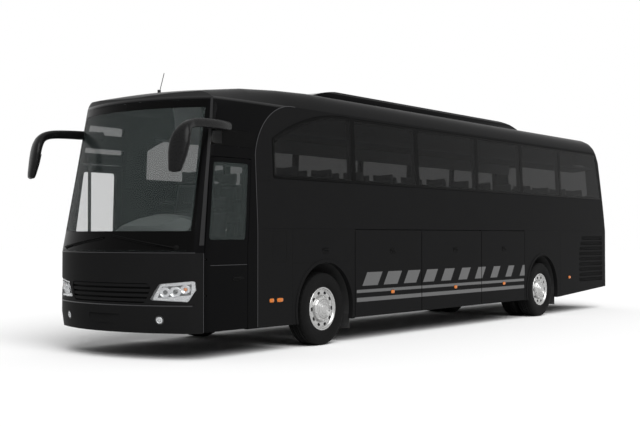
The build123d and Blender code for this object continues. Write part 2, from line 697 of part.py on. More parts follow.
def rear_zone(low_z, high_z):
    """The rear end of the body between two heights."""
    return across(outline(Plane.XZ, [
        (tail_at(low_z) + WALL_TAIL, low_z), (tail_at(REAR_KINK_Z) + WALL_TAIL, max(low_z, REAR_KINK_Z)),
        (tail_at(high_z) + WALL_TAIL, high_z), (TAIL_X - 100, high_z), (TAIL_X - 100, low_z),
    ]))


LID_PIN_X = TAIL_X + PIN_IN
LID_PIN_Z = LID_TOP_Z - PIN_IN


def lid_pin(y, length, radius):
    """A round pin across the coach on the engine lid's hinge axis."""
    with BuildPart() as made:
        with Locations(Location((LID_PIN_X, y, LID_PIN_Z), (90, 0, 0))):
            Cylinder(radius, length)
    return made.part


with BuildPart() as rear_wall:
    add(skin(rear_zone(REAR_BUMPER_TOP_Z, ROOF_SPLIT_Z), 0.0, WALL))
    add(rear_prism(rear_rect(LID_HALF + MOVE_GAP, LID_LOW_Z - 12, LID_TOP_Z + 12, 0.0)), mode=Mode.SUBTRACT)
    add(skin(rear_prism(rear_rect(REAR_GLASS_HALF + 1, REAR_GLASS_Z[0] - 1, REAR_GLASS_Z[1] + 1, 80)),
             0.0, GLASS_T + SEAT_GAP), mode=Mode.SUBTRACT)
    add(rear_prism(rear_rect(REAR_GLASS_HALF - 60, REAR_GLASS_Z[0] + 60, REAR_GLASS_Z[1] - 60, 60)),
        mode=Mode.SUBTRACT)
    for side in (1, -1):
        add(skin(rear_prism(tail_lamp(side, 0.0)), 0.0, LAMP_DEEP), mode=Mode.SUBTRACT)
        add(lid_pin(side * (LID_HALF + MOVE_GAP), 40, PIN_R + RUN_FIT), mode=Mode.SUBTRACT)
save(rear_wall.part, "rear_wall")

with BuildPart() as engine_lid:
    add(block((TAIL_X, TAIL_X + WALL), (-LID_HALF, LID_HALF), (LID_LOW_Z, LID_TOP_Z)))
    for z in (900, 990, 1080, 1170):
        add(block((TAIL_X - 5, TAIL_X + 28), (-LID_HALF + 120, LID_HALF - 120), (z, z + 50)), mode=Mode.SUBTRACT)
    for side in (1, -1):
        add(lid_pin(side * (LID_HALF + 8), 30, PIN_R))
save(engine_lid.part, "engine_lid")

TAIL_DOMES = 4
DOME_R = 58.0
DOME_OUT = 20.0
with BuildPart() as tail_lamps:
    for side in (1, -1):
        add(skin(rear_prism(tail_lamp(side, 1.0)), GLASS_T + SEAT_GAP, LAMP_DEEP - SEAT_GAP))
        for place in range(TAIL_DOMES):
            z = TAIL_LAMP_Z[0] + (TAIL_LAMP_Z[1] - TAIL_LAMP_Z[0]) * (place + 0.5) / TAIL_DOMES
            with Locations(Location((TAIL_X + DOME_OUT, side * (TAIL_LAMP_Y[0] + 62), z), (0, -90, 0))):
                Cone(DOME_R, DOME_R - 22, DOME_OUT - 2, align=(Align.CENTER, Align.CENTER, Align.MIN))
    add(SKINS[0.0], mode=Mode.INTERSECT)
save(tail_lamps.part, "tail_lamps")

with BuildPart() as rear_bumper:
    add(skin(rear_zone(SKIRT_Z, REAR_BUMPER_TOP_Z), 0.0, WALL))
    add(across(outline(Plane.XZ, [
        (QUARTER_X + 10, SKIRT_Z - 5), (QUARTER_X + 10, skirt_bottom(QUARTER_X + 10)),
        (TAIL_X - 100, skirt_bottom(TAIL_X - 100)), (TAIL_X - 100, SKIRT_Z - 5),
    ])), mode=Mode.SUBTRACT)
save(rear_bumper.part, "rear_bumper")

# Fixed panes: both sides, above the front doors and at the rear
with BuildPart() as windows:
    for index in PANES:
        pane = cut_from(pane_layer, through(window(index, 0.0), 1))
        add(pane)
        add(mirrored(pane))
    for side, low_z, top_z in QUARTER_ROWS:
        add(skin(through(quarter_outline(low_z, top_z, 0.0), side), 0.0, GLASS_T))
    add(skin(rear_prism(rear_rect(REAR_GLASS_HALF, *REAR_GLASS_Z, 80)), 0.0, GLASS_T))
save(windows.part, "windows")

# Passenger doors: a turning column with two arms, and a leaf that stays level with the side
ARM_LENGTH = 480.0
ARM_IN = 30.0
ROD_R = 10.0
ROD_Z = (640.0, 1560.0)
ARM_ROWS = (700.0, 1460.0)
ARM_H = 40.0
ROD_Y = COLUMN_Y - ARM_IN


def door_arm(column_x, way, top_z):
    """Column and arms of a passenger door whose leaf hangs fore or aft of it."""
    rod_x = column_x - way * ARM_LENGTH
    with BuildPart() as made:
        with Locations((column_x, -COLUMN_Y, STEP_Z + SEAT_GAP)):
            Cylinder(COLUMN_R, top_z - SEAT_GAP - STEP_Z - SEAT_GAP, align=(Align.CENTER, Align.CENTER, Align.MIN))
        for z in ARM_ROWS:
            with BuildSketch(Plane.XY.offset(z)):
                with BuildLine():
                    Polyline(
                        (column_x, -COLUMN_Y - 18), (rod_x, -ROD_Y - 18), (rod_x, -ROD_Y + 18),
                        (column_x, -COLUMN_Y + 18), close=True)
                make_face()
                with Locations((rod_x, -ROD_Y)):
                    Circle(20)
            extrude(amount=ARM_H)
        with Locations((rod_x, -ROD_Y, (ROD_Z[0] + ROD_Z[1]) / 2)):
            Cylinder(ROD_R + RUN_FIT, ROD_Z[1] - ROD_Z[0], mode=Mode.SUBTRACT)
    return made.part


def door_rod(rod_x):
    """Upright rod on the inside of a leaf and the two brackets that hold it."""
    with BuildPart() as made:
        with Locations((rod_x, -ROD_Y, ROD_Z[0])):
            Cylinder(ROD_R, ROD_Z[1] - ROD_Z[0], align=(Align.CENTER, Align.CENTER, Align.MIN))
        for z in (ROD_Z[0], ROD_Z[1] - 20):
            add(block((rod_x - 25, rod_x + 25), (-HALF + WALL - 2, -ROD_Y + 15), (z, z + 20)))
    return made.part


with BuildPart() as front_door:
    add(front_door_panel(-1, *FRONT_DOOR))
    add(door_rod(COLUMN_X - ARM_LENGTH))
save(front_door.part, "front_door")

with BuildPart() as front_door_glass:
    add(skin(through(door_window(*FRONT_DOOR, 0.0), -1), 0.0, GLASS_T))
save(front_door_glass.part, "front_door_glass")

with BuildPart() as front_door_arm:
    add(door_arm(COLUMN_X, 1, COLUMN_TOP_Z))
save(front_door_arm.part, "front_door_arm")


def mid_rect(side_in, low, high, radius):
    """Outline within the middle door."""
    return outline(Plane.XZ, [
        (MID_DOOR_REAR_X + side_in, low), (MID_DOOR_FRONT_X - side_in, low),
        (MID_DOOR_FRONT_X - side_in, high), (MID_DOOR_REAR_X + side_in, high)], radius)


MID_COLUMN_X = MID_DOOR_REAR_X + 150
MID_COLUMN_TOP_Z = FLOOR_Z + 700
MID_GLASS_Z = (1380.0, 2170.0)
with BuildPart() as mid_leaf:
    add(side_layer(DOOR_LOW_Z, MID_DOOR_TOP_Z, 0.0, WALL))
    add(through(mid_rect(0.0, DOOR_LOW_Z, MID_DOOR_TOP_Z, 0.0), 1), mode=Mode.INTERSECT)
    add(cut_from(side_layer(DOOR_LOW_Z, MID_DOOR_TOP_Z, -1.0, GLASS_T + SEAT_GAP),
                 through(mid_rect(59.0, MID_GLASS_Z[0] - 1, MID_GLASS_Z[1] + 1, 41), 1)), mode=Mode.SUBTRACT)
    add(through(mid_rect(110.0, MID_GLASS_Z[0] + 50, MID_GLASS_Z[1] - 50, 40), 1), mode=Mode.SUBTRACT)
with BuildPart() as mid_door:
    add(mirrored(mid_leaf.part))
    add(door_rod(MID_COLUMN_X + ARM_LENGTH))
save(mid_door.part, "mid_door")

with BuildPart() as mid_glass:
    add(side_layer(DOOR_LOW_Z, MID_DOOR_TOP_Z, 0.0, GLASS_T))
    add(through(mid_rect(60.0, *MID_GLASS_Z, 40), 1), mode=Mode.INTERSECT)
save(mirrored(mid_glass.part), "mid_door_glass")

with BuildPart() as mid_door_arm:
    add(door_arm(MID_COLUMN_X, -1, MID_COLUMN_TOP_Z))
save(mid_door_arm.part, "mid_door_arm")

# Horn-shaped mirrors: place, turn outwards and pitch down in degrees, width and depth of each section
HORN_ROWS = (
    ((NOSE_X - 1020, HALF - 105, 2893), 20, 0, 88, 116),
    ((NOSE_X - 815, HALF - 35, 2893), 14, 0, 90, 116),
    ((NOSE_X - 395, HALF + 20, 2884), 6, 4, 88, 112),
    ((NOSE_X - 180, HALF + 34, 2858), 8, 18, 104, 108),
    ((NOSE_X - 70, HALF + 42, 2795), 14, 45, 165, 108),
    ((NOSE_X - 13, HALF + 46, 2700), 20, 68, 232, 108),
    ((NOSE_X + 20, HALF + 46, 2580), 20, 76, 256, 104),
    ((NOSE_X + 53, HALF + 42, 2430), 20, 77, 236, 98),
    ((MIRROR_X - 57, HALF + 38, 2262), 20, 77, 178, 80),
)
HORN_ROUND = 0.42


def horn_section(place, turn, pitch, width, depth):
    """One rounded section across a mirror's arm or head."""
    side_way = Vector(0, 1, 0).rotate(Axis.Z, turn)
    ahead = Vector(1, 0, 0).rotate(Axis.Y, pitch).rotate(Axis.Z, turn)
    with BuildSketch(Plane(origin=place, x_dir=side_way, z_dir=ahead)) as section:
        RectangleRounded(width, depth, HORN_ROUND * min(width, depth))
    return section.sketch


with BuildPart() as left_mirror:
    loft(sections=[horn_section(*row) for row in HORN_ROWS], ruled=True)
    add(SKINS[-SEAT_GAP], mode=Mode.SUBTRACT)
with BuildPart() as mirrors:
    add(left_mirror.part)
    add(mirrored(left_mirror.part))
save(mirrors.part, "mirrors")

# Cabin floor, driver's platform and the riser between them
FLOOR_LOW_Z = FLOOR_Z - FLOOR_T
FLOOR_HALF = HALF - WALL - DOOR_GAP
SNUG_HALF = HALF - WALL - SEAT_GAP
STAIR_IN_Y = 250.0
PLATFORM_Y = 340.0
FLOOR_TAIL_X = TAIL_X + REAR_CORNER_R + 5
with BuildPart() as cabin_floor:
    add(block((FLOOR_TAIL_X, STEP_X), (-FLOOR_HALF, FLOOR_HALF), (FLOOR_LOW_Z, FLOOR_Z)))
    for low_x, high_x in ((FLOOR_TAIL_X, BAY_REAR_X - 30), (BAY_FRONT_X + 30, STEP_X)):
        add(block((low_x, high_x), (-SNUG_HALF, SNUG_HALF), (FLOOR_LOW_Z, FLOOR_Z)))
    add(block((STEP_X - 40, STEP_X), (-SNUG_HALF, SNUG_HALF), (PLATFORM_Z - FLOOR_T, FLOOR_Z)))
    add(block((STEP_X - 40, DOOR_FRONT_X - 20), (-PLATFORM_Y, FLOOR_HALF), (PLATFORM_Z - FLOOR_T, PLATFORM_Z)))
    add(block((MID_DOOR_REAR_X - SEAT_GAP, MID_DOOR_FRONT_X + SEAT_GAP), (-HALF, -STAIR_IN_Y), (0, FLOOR_Z + 10)),
        mode=Mode.SUBTRACT)
save(cabin_floor.part, "cabin_floor")

# Entry steps: tread height and inner edge of each step, from the door inwards
FRONT_TREADS = ((STEP_Z, 920.0), (570.0, 640.0), (760.0, PLATFORM_Y + SEAT_GAP))
MID_TREADS = ((STEP_Z, 970.0), (640.0, 735.0), (890.0, 490.0), (1140.0, STAIR_IN_Y + SEAT_GAP))
STEP_T = 40.0


def stairs(treads, top_z, low_x, high_x):
    """A folded flight of steps rising from the right side inwards."""
    upper = []
    outer_y = FLOOR_HALF
    for z, inner_y in treads:
        upper += [(-outer_y, z), (-inner_y, z)]
        outer_y = inner_y
    last_z = treads[-1][0]
    upper[-1] = (-outer_y - STEP_T, last_z)
    top = [(-outer_y - STEP_T, top_z - SEAT_GAP), (-outer_y, top_z - SEAT_GAP), (-outer_y, last_z - STEP_T)]
    lower = [(y + STEP_T, z - STEP_T) for y, z in reversed(upper[1:-1])]
    points = upper + top + lower + [(-FLOOR_HALF, treads[0][0] - STEP_T)]
    return endways(outline(Plane.YZ, points), low_x, high_x)


with BuildPart() as entry_steps:
    add(stairs(FRONT_TREADS, PLATFORM_Z, STEP_X + SEAT_GAP, DOOR_FRONT_X - 20))
    add(stairs(MID_TREADS, FLOOR_Z, MID_DOOR_REAR_X, MID_DOOR_FRONT_X))
    add(block((MID_COLUMN_X - 40, MID_COLUMN_X + 40), (-COLUMN_Y - 30, -COLUMN_Y + 200),
              (MID_COLUMN_TOP_Z, MID_COLUMN_TOP_Z + 30)))
    add(block((MID_COLUMN_X - 40, MID_COLUMN_X + 40), (-COLUMN_Y + 160, -COLUMN_Y + 200),
              (STEP_Z - 20, MID_COLUMN_TOP_Z + 30)))
save(entry_steps.part, "entry_steps")

# Luggage bay pan with its end walls
END_T = 40.0
BAY_SLOT = 20.0
with BuildPart() as luggage_bay:
    add(block((BAY_REAR_X, BAY_FRONT_X), (-FLOOR_HALF, FLOOR_HALF), (PAN_Z, PAN_Z + END_T)))
    for x in (BAY_REAR_X, BAY_FRONT_X - END_T):
        add(block((x, x + END_T), (-FLOOR_HALF, FLOOR_HALF), (PAN_Z, FLOOR_LOW_Z - SEAT_GAP)))
    add(block((MID_DOOR_REAR_X - BAY_SLOT, MID_DOOR_FRONT_X + BAY_SLOT), (-HALF, -STAIR_IN_Y + BAY_SLOT), (0, FLOOR_Z)),
        mode=Mode.SUBTRACT)
save(luggage_bay.part, "luggage_bay")

# Underframe at both ends
RAIL_Y = (430.0, 530.0)
RAIL_Z = (800.0, PLATFORM_Z - FLOOR_T - SEAT_GAP)
FRAME_ROWS = (
    (BAY_FRONT_X + SEAT_GAP, STEP_X - 60, (BAY_FRONT_X + 60, FRONT_AXLE_X + 700, STEP_X - 120)),
    (TAIL_X + 280, BAY_REAR_X - SEAT_GAP, (TAIL_X + 340, REAR_AXLE_X - 620, BAY_REAR_X - 60)),
)
with BuildPart() as chassis_frame:
    for rear_x, front_x, beams in FRAME_ROWS:
        for side in (1, -1):
            low_y, high_y = sorted((side * RAIL_Y[0], side * RAIL_Y[1]))
            add(block((rear_x, front_x), (low_y, high_y), RAIL_Z))
        for x in beams:
            add(block((x - 40, x + 40), (-RAIL_Y[0], RAIL_Y[0]), RAIL_Z))
save(chassis_frame.part, "chassis_frame")

# Engine block on the rear rails
ENGINE_X = (TAIL_X + 460, REAR_AXLE_X - 760)
with BuildPart() as engine:
    add(block(ENGINE_X, (-RAIL_Y[0] + 20, RAIL_Y[0] - 20), (560, 1230)))
    for x in (ENGINE_X[0] + 200, ENGINE_X[1] - 280):
        add(block((x, x + 80), (-RAIL_Y[1] + 20, RAIL_Y[1] - 20), (RAIL_Z[1] + SEAT_GAP, RAIL_Z[1] + 60)))
save(engine.part, "engine")

# Axles, air springs and steering knuckles
BEAM_Z = (WHEEL_R - 66, WHEEL_R + 44)
EYE_R = 52.0
EYE_HALF = 70.0
SPRING_Y = 440.0
SPRING_R = 105.0
PAD_Z = WHEEL_R + 95
with BuildPart() as axles:
    add(block((FRONT_AXLE_X - 50, FRONT_AXLE_X + 50), (-KINGPIN_Y, KINGPIN_Y), BEAM_Z))
    for side in (1, -1):
        with Locations((FRONT_AXLE_X, side * KINGPIN_Y, WHEEL_R)):
            Cylinder(EYE_R, 2 * EYE_HALF)
            Cylinder(KINGPIN_R + RUN_FIT, 4 * EYE_HALF, mode=Mode.SUBTRACT)
        with Locations((FRONT_AXLE_X, side * SPRING_Y, (PAD_Z + BEAM_Z[0] + 20) / 2)):
            Box(160, 160, PAD_Z - BEAM_Z[0] - 20)
        with Locations((REAR_AXLE_X, side * SPRING_Y, (PAD_Z + WHEEL_R) / 2)):
            Box(160, 160, PAD_Z - WHEEL_R)
    with Locations(Location((REAR_AXLE_X, 0, WHEEL_R), (90, 0, 0))):
        Cylinder(80, 2 * (TYRE_Y - TWIN_PITCH - TYRE_W / 2 - 20))
        Cylinder(REAR_SPINDLE_R, 2 * (TYRE_Y + 60))
        Cylinder(210, 260)
save(axles.part, "axles")

with BuildPart() as air_springs:
    for x in (FRONT_AXLE_X, REAR_AXLE_X):
        for side in (1, -1):
            with Locations((x, side * SPRING_Y, (PAD_Z + RAIL_Z[0]) / 2)):
                Cylinder(SPRING_R, RAIL_Z[0] - PAD_Z - 2 * SEAT_GAP)
save(air_springs.part, "air_springs")

YOKE_T = 30.0
YOKE_Z = EYE_HALF + MOVE_GAP
with BuildPart() as left_knuckle:
    with Locations((FRONT_AXLE_X, KINGPIN_Y, WHEEL_R)):
        Cylinder(KINGPIN_R, 2 * (YOKE_Z + YOKE_T))
    for z in (WHEEL_R + YOKE_Z, WHEEL_R - YOKE_Z - YOKE_T):
        add(block((FRONT_AXLE_X - 55, FRONT_AXLE_X + 55), (KINGPIN_Y - 50, KINGPIN_Y + 95), (z, z + YOKE_T)))
    add(block((FRONT_AXLE_X - 55, FRONT_AXLE_X + 55), (KINGPIN_Y + EYE_R + MOVE_GAP, KINGPIN_Y + 95),
              (WHEEL_R - YOKE_Z, WHEEL_R + YOKE_Z)))
    with Locations(Location((FRONT_AXLE_X, (KINGPIN_Y + 80 + TYRE_Y + 60) / 2, WHEEL_R), (90, 0, 0))):
        Cylinder(FRONT_SPINDLE_R, TYRE_Y + 60 - KINGPIN_Y - 80)
save(left_knuckle.part, "knuckle_left")
save(mirrored(left_knuckle.part), "knuckle_right")

# Wheels
HUB_R = 95.0
CAP_R = 178.0
BEAD_Y = 112.0
FLANGE_Y = BEAD_Y + 4.5
DISC_T = 22.0
DISC_Y = 74.0
HAND_HOLES = 10
HOLE_AT_R = 226.0
HOLE_W, HOLE_H = 56.0, 38.0
TYRE_POINTS = (
    (-BEAD_Y, RIM_R + SEAT_GAP), (-TYRE_W / 2, 420), (-118, WHEEL_R), (118, WHEEL_R), (BEAD_Y, RIM_R + SEAT_GAP),
)


def turned(axle_x, points):
    """A ring or disc turned about an axle from points of offset outwards and radius."""
    with BuildPart() as made:
        with BuildSketch(Plane(origin=(axle_x, 0, WHEEL_R), x_dir=(0, 1, 0), z_dir=(1, 0, 0))):
            with BuildLine():
                Polyline(*points, close=True)
            make_face()
        revolve(axis=Axis((axle_x, 0, WHEEL_R), (0, 1, 0)))
    return made.part


def tyre(axle_x, centre_y, out):
    """One tyre whose fuller side faces in or out."""
    return turned(axle_x, [(centre_y - out * y, r) for y, r in TYRE_POINTS])


def rim_ring(axle_x, centre_y, disc_y):
    """Barrel with two flanges and a disc with hand holes that reaches the hub."""
    edge = BEAD_Y + 14
    barrel = RIM_R - 14
    with BuildPart() as made:
        add(turned(axle_x, [
            (centre_y + y, r) for y, r in (
                (-edge, barrel), (-edge, FLANGE_R), (-FLANGE_Y, FLANGE_R), (-FLANGE_Y, RIM_R), (FLANGE_Y, RIM_R),
                (FLANGE_Y, FLANGE_R), (edge, FLANGE_R), (edge, barrel),
                (disc_y + DISC_T, barrel), (disc_y + DISC_T, HUB_R), (disc_y, HUB_R), (disc_y, barrel),
            )]))
        with BuildSketch(Plane(origin=(axle_x, centre_y + disc_y - 5, WHEEL_R), x_dir=(1, 0, 0), z_dir=(0, 1, 0))):
            with PolarLocations(HOLE_AT_R, HAND_HOLES):
                SlotOverall(HOLE_W, HOLE_H, rotation=90)
        extrude(amount=DISC_T + 10, mode=Mode.SUBTRACT)
    return made.part


def hub(axle_x, spindle_r, inner_y, cap_y):
    """Hub with a bore for the spindle and a domed cap."""
    end_y = TYRE_Y + 66
    return turned(axle_x, [
        (inner_y, spindle_r + RUN_FIT), (inner_y, HUB_R + 1), (cap_y - 60, HUB_R + 1), (cap_y - 60, CAP_R),
        (cap_y - 30, CAP_R - 18), (cap_y, 60), (cap_y, 0), (end_y, 0), (end_y, spindle_r + RUN_FIT),
    ])


CAP_Y = TYRE_OUT_Y + 18
WHEEL_ROWS = (("front", FRONT_AXLE_X, FRONT_SPINDLE_R, (0.0,)), ("rear", REAR_AXLE_X, REAR_SPINDLE_R, (0.0, TWIN_PITCH)))
for place, axle_x, spindle_r, steps in WHEEL_ROWS:
    inner_y = KINGPIN_Y + 95 + MOVE_GAP if len(steps) == 1 else TYRE_Y - TWIN_PITCH - TYRE_W / 2 + 10
    with BuildPart() as tyres:
        for step in steps:
            add(tyre(axle_x, TYRE_Y - step, 1))
    with BuildPart() as rim:
        add(hub(axle_x, spindle_r, inner_y, CAP_Y))
        for step in steps:
            add(rim_ring(axle_x, TYRE_Y - step, DISC_Y))
    save(tyres.part, f"tyre_{place}_left")
    save(mirrored(tyres.part), f"tyre_{place}_right")
    save(rim.part, f"rim_{place}_left")
    save(mirrored(rim.part), f"rim_{place}_right")

# Wheel arch liners with mud flaps
LINER_R = ARCH_R + 6
LINER_T = 8.0
LINER_IN_Y = 552.0
with BuildPart() as wheel_arches:
    for x in (FRONT_AXLE_X, REAR_AXLE_X):
        with BuildSketch(Plane.XZ.offset(-SNUG_HALF)):
            with Locations((x, WHEEL_R)):
                Circle(LINER_R + LINER_T)
                Circle(LINER_R, mode=Mode.SUBTRACT)
            with Locations((x, 0)):
                Rectangle(4 * LINER_R, 2 * (SKIRT_Z + 60), mode=Mode.SUBTRACT)
        extrude(amount=SNUG_HALF - LINER_IN_Y)
        with BuildSketch(Plane.XZ.offset(-LINER_IN_Y - LINER_T)):
            with Locations((x, WHEEL_R)):
                Circle(LINER_R + LINER_T)
            with Locations((x, 0)):
                Rectangle(4 * LINER_R, 2 * (WHEEL_R + 200), mode=Mode.SUBTRACT)
        extrude(amount=LINER_T)
        add(block((x - LINER_R - LINER_T, x - LINER_R + 4), (TYRE_Y - TYRE_W / 2, SNUG_HALF), (190, WHEEL_R)))
    mirror(about=Plane.XZ)
save(wheel_arches.part, "wheel_arches")

# Dashboard with the steering column
WHEEL_AT = (NOSE_X - 880, 560.0, 1680.0)
COLUMN_TILT = 28.0
DASH_X = NOSE_X - 790
HOOD_Y = (-180.0, FLOOR_HALF - 80)
with BuildSketch(Plane.YZ) as hood:
    with BuildLine():
        ThreePointArc((HOOD_Y[0], 1500), (WHEEL_AT[1] - 80, 1775), (HOOD_Y[1], 1690))
        Polyline((HOOD_Y[1], 1690), (HOOD_Y[1], 1300), (HOOD_Y[0], 1300), (HOOD_Y[0], 1500))
    make_face()
with BuildPart() as dashboard:
    add(across(outline(Plane.XZ, [
        (DASH_X, PLATFORM_Z + SEAT_GAP), (DASH_X, 1320), (DASH_X + 90, 1420), (DASH_X + 300, 1500),
        (DASH_X + 520, 1470), (DASH_X + 620, 1250), (DASH_X + 560, PLATFORM_Z + SEAT_GAP),
    ])))
    add(block((DASH_X - 50, NOSE_X), (-880, FLOOR_HALF - 60), (PLATFORM_Z, 1600)), mode=Mode.INTERSECT)
    add(cut_from(endways(hood.sketch, DASH_X + 175, DASH_X + 535), across(outline(Plane.XZ, [
        (DASH_X + 175, 1300), (DASH_X + 175, 1690), (DASH_X + 230, 1790), (DASH_X + 360, 1790), (DASH_X + 535, 1640),
        (DASH_X + 535, 1300),
    ]))))
    add(SKINS[WALL + SEAT_GAP], mode=Mode.INTERSECT)
    with Locations(Location(WHEEL_AT, (0, -COLUMN_TILT, 0))):
        Cylinder(18, 420, align=(Align.CENTER, Align.CENTER, Align.MAX))
save(dashboard.part, "dashboard")

with BuildPart() as steering_wheel:
    with Locations(Location(WHEEL_AT, (0, -COLUMN_TILT, 0))):
        Torus(225, 15)
        Cylinder(55, 50)
        Box(440, 40, 14)
        Cylinder(18 + RUN_FIT, 100, align=(Align.CENTER, Align.CENTER, Align.MAX), mode=Mode.SUBTRACT)
        Cylinder(54, 30, align=(Align.CENTER, Align.CENTER, Align.MIN))
save(steering_wheel.part, "steering_wheel")

# Passenger seats in pairs, and the driver's seat
SEAT_PITCH = 800.0
SEAT_W = 880.0
SEAT_Y = 680.0
SEAT_ROWS = 13
SEAT_BASE = ((-60, 0), (240, 0), (240, 320), (440, 330), (455, 425), (10, 400), (-60, 320))
SEAT_BACK = ((9.7, 400.3), (-150, 1100), (-270, 1100), (-130, 330), (-60.3, 320.3))
SEAT_SPLIT = 24.0


def seat_solid(points, x, y, z, width, radius):
    """A seat profile carried across, with its upper edges rounded."""
    with BuildPart() as made:
        extrude(outline(Plane.XZ, [(x + u, z + SEAT_GAP + v) for u, v in points]), amount=-width)
        fillet(made.edges().filter_by(Axis.Y).group_by(Axis.Z)[-1], radius)
    return made.part.moved(Location((0, y - width / 2, 0)))


def seat(x, y, z, width, count):
    """A cushion on its frame with one or more backs."""
    back_w = (width - (count - 1) * SEAT_SPLIT) / count
    with BuildPart() as made:
        add(seat_solid(SEAT_BASE, x, y, z, width, 30))
        for place in range(count):
            shift = (place - (count - 1) / 2) * (back_w + SEAT_SPLIT)
            add(seat_solid(SEAT_BACK, x, y + shift, z, back_w, 45))
    return made.part


SEAT_FIRST_X = STEP_X - 800
with BuildPart() as seats:
    for row in range(SEAT_ROWS):
        x = SEAT_FIRST_X - row * SEAT_PITCH
        add(seat(x, SEAT_Y, FLOOR_Z, SEAT_W, 2))
        if x - 300 > MID_DOOR_FRONT_X or x + 480 < MID_DOOR_REAR_X:
            add(seat(x, -SEAT_Y, FLOOR_Z, SEAT_W, 2))
    add(seat(STEP_X + 210, WHEEL_AT[1], PLATFORM_Z, 480, 1))
save(seats.part, "seats")

# Luggage racks along both walls
RACK_Z = 2900.0


def rack_y(z):
    """Outer edge of a rack against the wall."""
    return side_at(z) - WALL - SEAT_GAP


with BuildPart() as luggage_racks:
    add(endways(outline(Plane.YZ, [
        (rack_y(RACK_Z), RACK_Z), (rack_y(RACK_Z + 40), RACK_Z + 40), (790, RACK_Z - 5), (770, RACK_Z + 90),
        (735, RACK_Z + 90), (750, RACK_Z - 50),
    ]), TAIL_X + 560, SEAT_FIRST_X + 300))
    mirror(about=Plane.XZ)
save(luggage_racks.part, "luggage_racks")
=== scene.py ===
"""Looks of a two-axle touring coach: finishes, wheels, lamps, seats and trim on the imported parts."""
from math import atan2, copysign, cos, hypot, pi, radians, sin, sqrt, tanh

import bmesh
import bpy
import numpy as np
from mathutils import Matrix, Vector


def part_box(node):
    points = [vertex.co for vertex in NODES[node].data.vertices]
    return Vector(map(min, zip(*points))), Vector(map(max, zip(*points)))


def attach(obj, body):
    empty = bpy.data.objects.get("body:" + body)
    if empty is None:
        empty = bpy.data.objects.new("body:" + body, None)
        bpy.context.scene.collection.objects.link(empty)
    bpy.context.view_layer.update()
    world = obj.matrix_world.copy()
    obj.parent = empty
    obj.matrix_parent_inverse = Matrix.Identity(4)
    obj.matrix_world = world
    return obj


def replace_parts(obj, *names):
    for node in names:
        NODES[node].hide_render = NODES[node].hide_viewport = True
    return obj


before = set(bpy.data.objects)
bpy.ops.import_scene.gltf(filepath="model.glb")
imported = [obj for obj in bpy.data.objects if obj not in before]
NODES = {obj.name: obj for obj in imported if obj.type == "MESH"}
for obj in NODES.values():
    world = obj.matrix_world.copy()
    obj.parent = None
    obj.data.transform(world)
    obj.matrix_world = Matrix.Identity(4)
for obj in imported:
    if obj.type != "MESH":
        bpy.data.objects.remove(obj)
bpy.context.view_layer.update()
scene = bpy.context.scene
SIDES = (1, -1)
HANDS = (("left", 1), ("right", -1))
X, Y, Z = range(3)


def start_of(node, axis):
    """Where a node's box starts along an axis, to a tenth of a millimetre."""
    return round(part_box(node)[0][axis], 4)


def end_of(node, axis):
    """Where a node's box ends along an axis, to a tenth of a millimetre."""
    return round(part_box(node)[1][axis], 4)


def middle_of(node, axis):
    """Middle of a node's box along an axis."""
    return (start_of(node, axis) + end_of(node, axis)) / 2


# Body form in metres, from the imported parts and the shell's leans and rounds
HALF = end_of("left_wall", Y)
NOSE_X = end_of("front_panel", X)
TAIL_X = start_of("rear_wall", X)
MODULE_X = end_of("left_wall", X)
SEAM_Z = end_of("front_panel", Z)
WAIST_Z = end_of("side_skirts", Z)
SKIRT_Z = start_of("driver_door", Z)
FLOOR_Z = end_of("cabin_floor", Z)
FRONT_AXLE_X = middle_of("tyre_front_left", X)
REAR_AXLE_X = middle_of("tyre_rear_left", X)
WHEEL_Z = end_of("tyre_front_left", Z) / 2
TYRE_Y = 1.0975
TWIN = 0.345
TUMBLE = 0.047
FRONT_LEAN = 0.2235
REAR_LEAN = 0.211
BOW_R = 2.3
CORNER_R = 0.3
REAR_R = 0.15
CORNER_Y = HALF - CORNER_R
CORNER_BACK = sqrt((BOW_R - CORNER_R) ** 2 - CORNER_Y**2)
TUCK, TUCK_TOP_Z, TUCK_HIGH = 0.035, 0.523, 0.19

# Finishes
MIX_FACTOR, MIX_FIRST, MIX_SECOND, MIX_RESULT = 0, 6, 7, 2
GLOSS_LOW, GLOSS_HIGH = 0.82, 1.18
WHITE = (1, 1, 1, 1)


def set_inputs(node, values):
    """Puts values on the inputs of a node."""
    for key, value in values.items():
        node.inputs[key].default_value = value


def add_node(tree, kind, values=None, links=None, **settings):
    """A node with its settings made, and its inputs set to values or linked to outputs."""
    made = tree.nodes.new(kind)
    for key, value in settings.items():
        setattr(made, key, value)
    set_inputs(made, values or {})
    for key, output in (links or {}).items():
        tree.links.new(output, made.inputs[key])
    return made


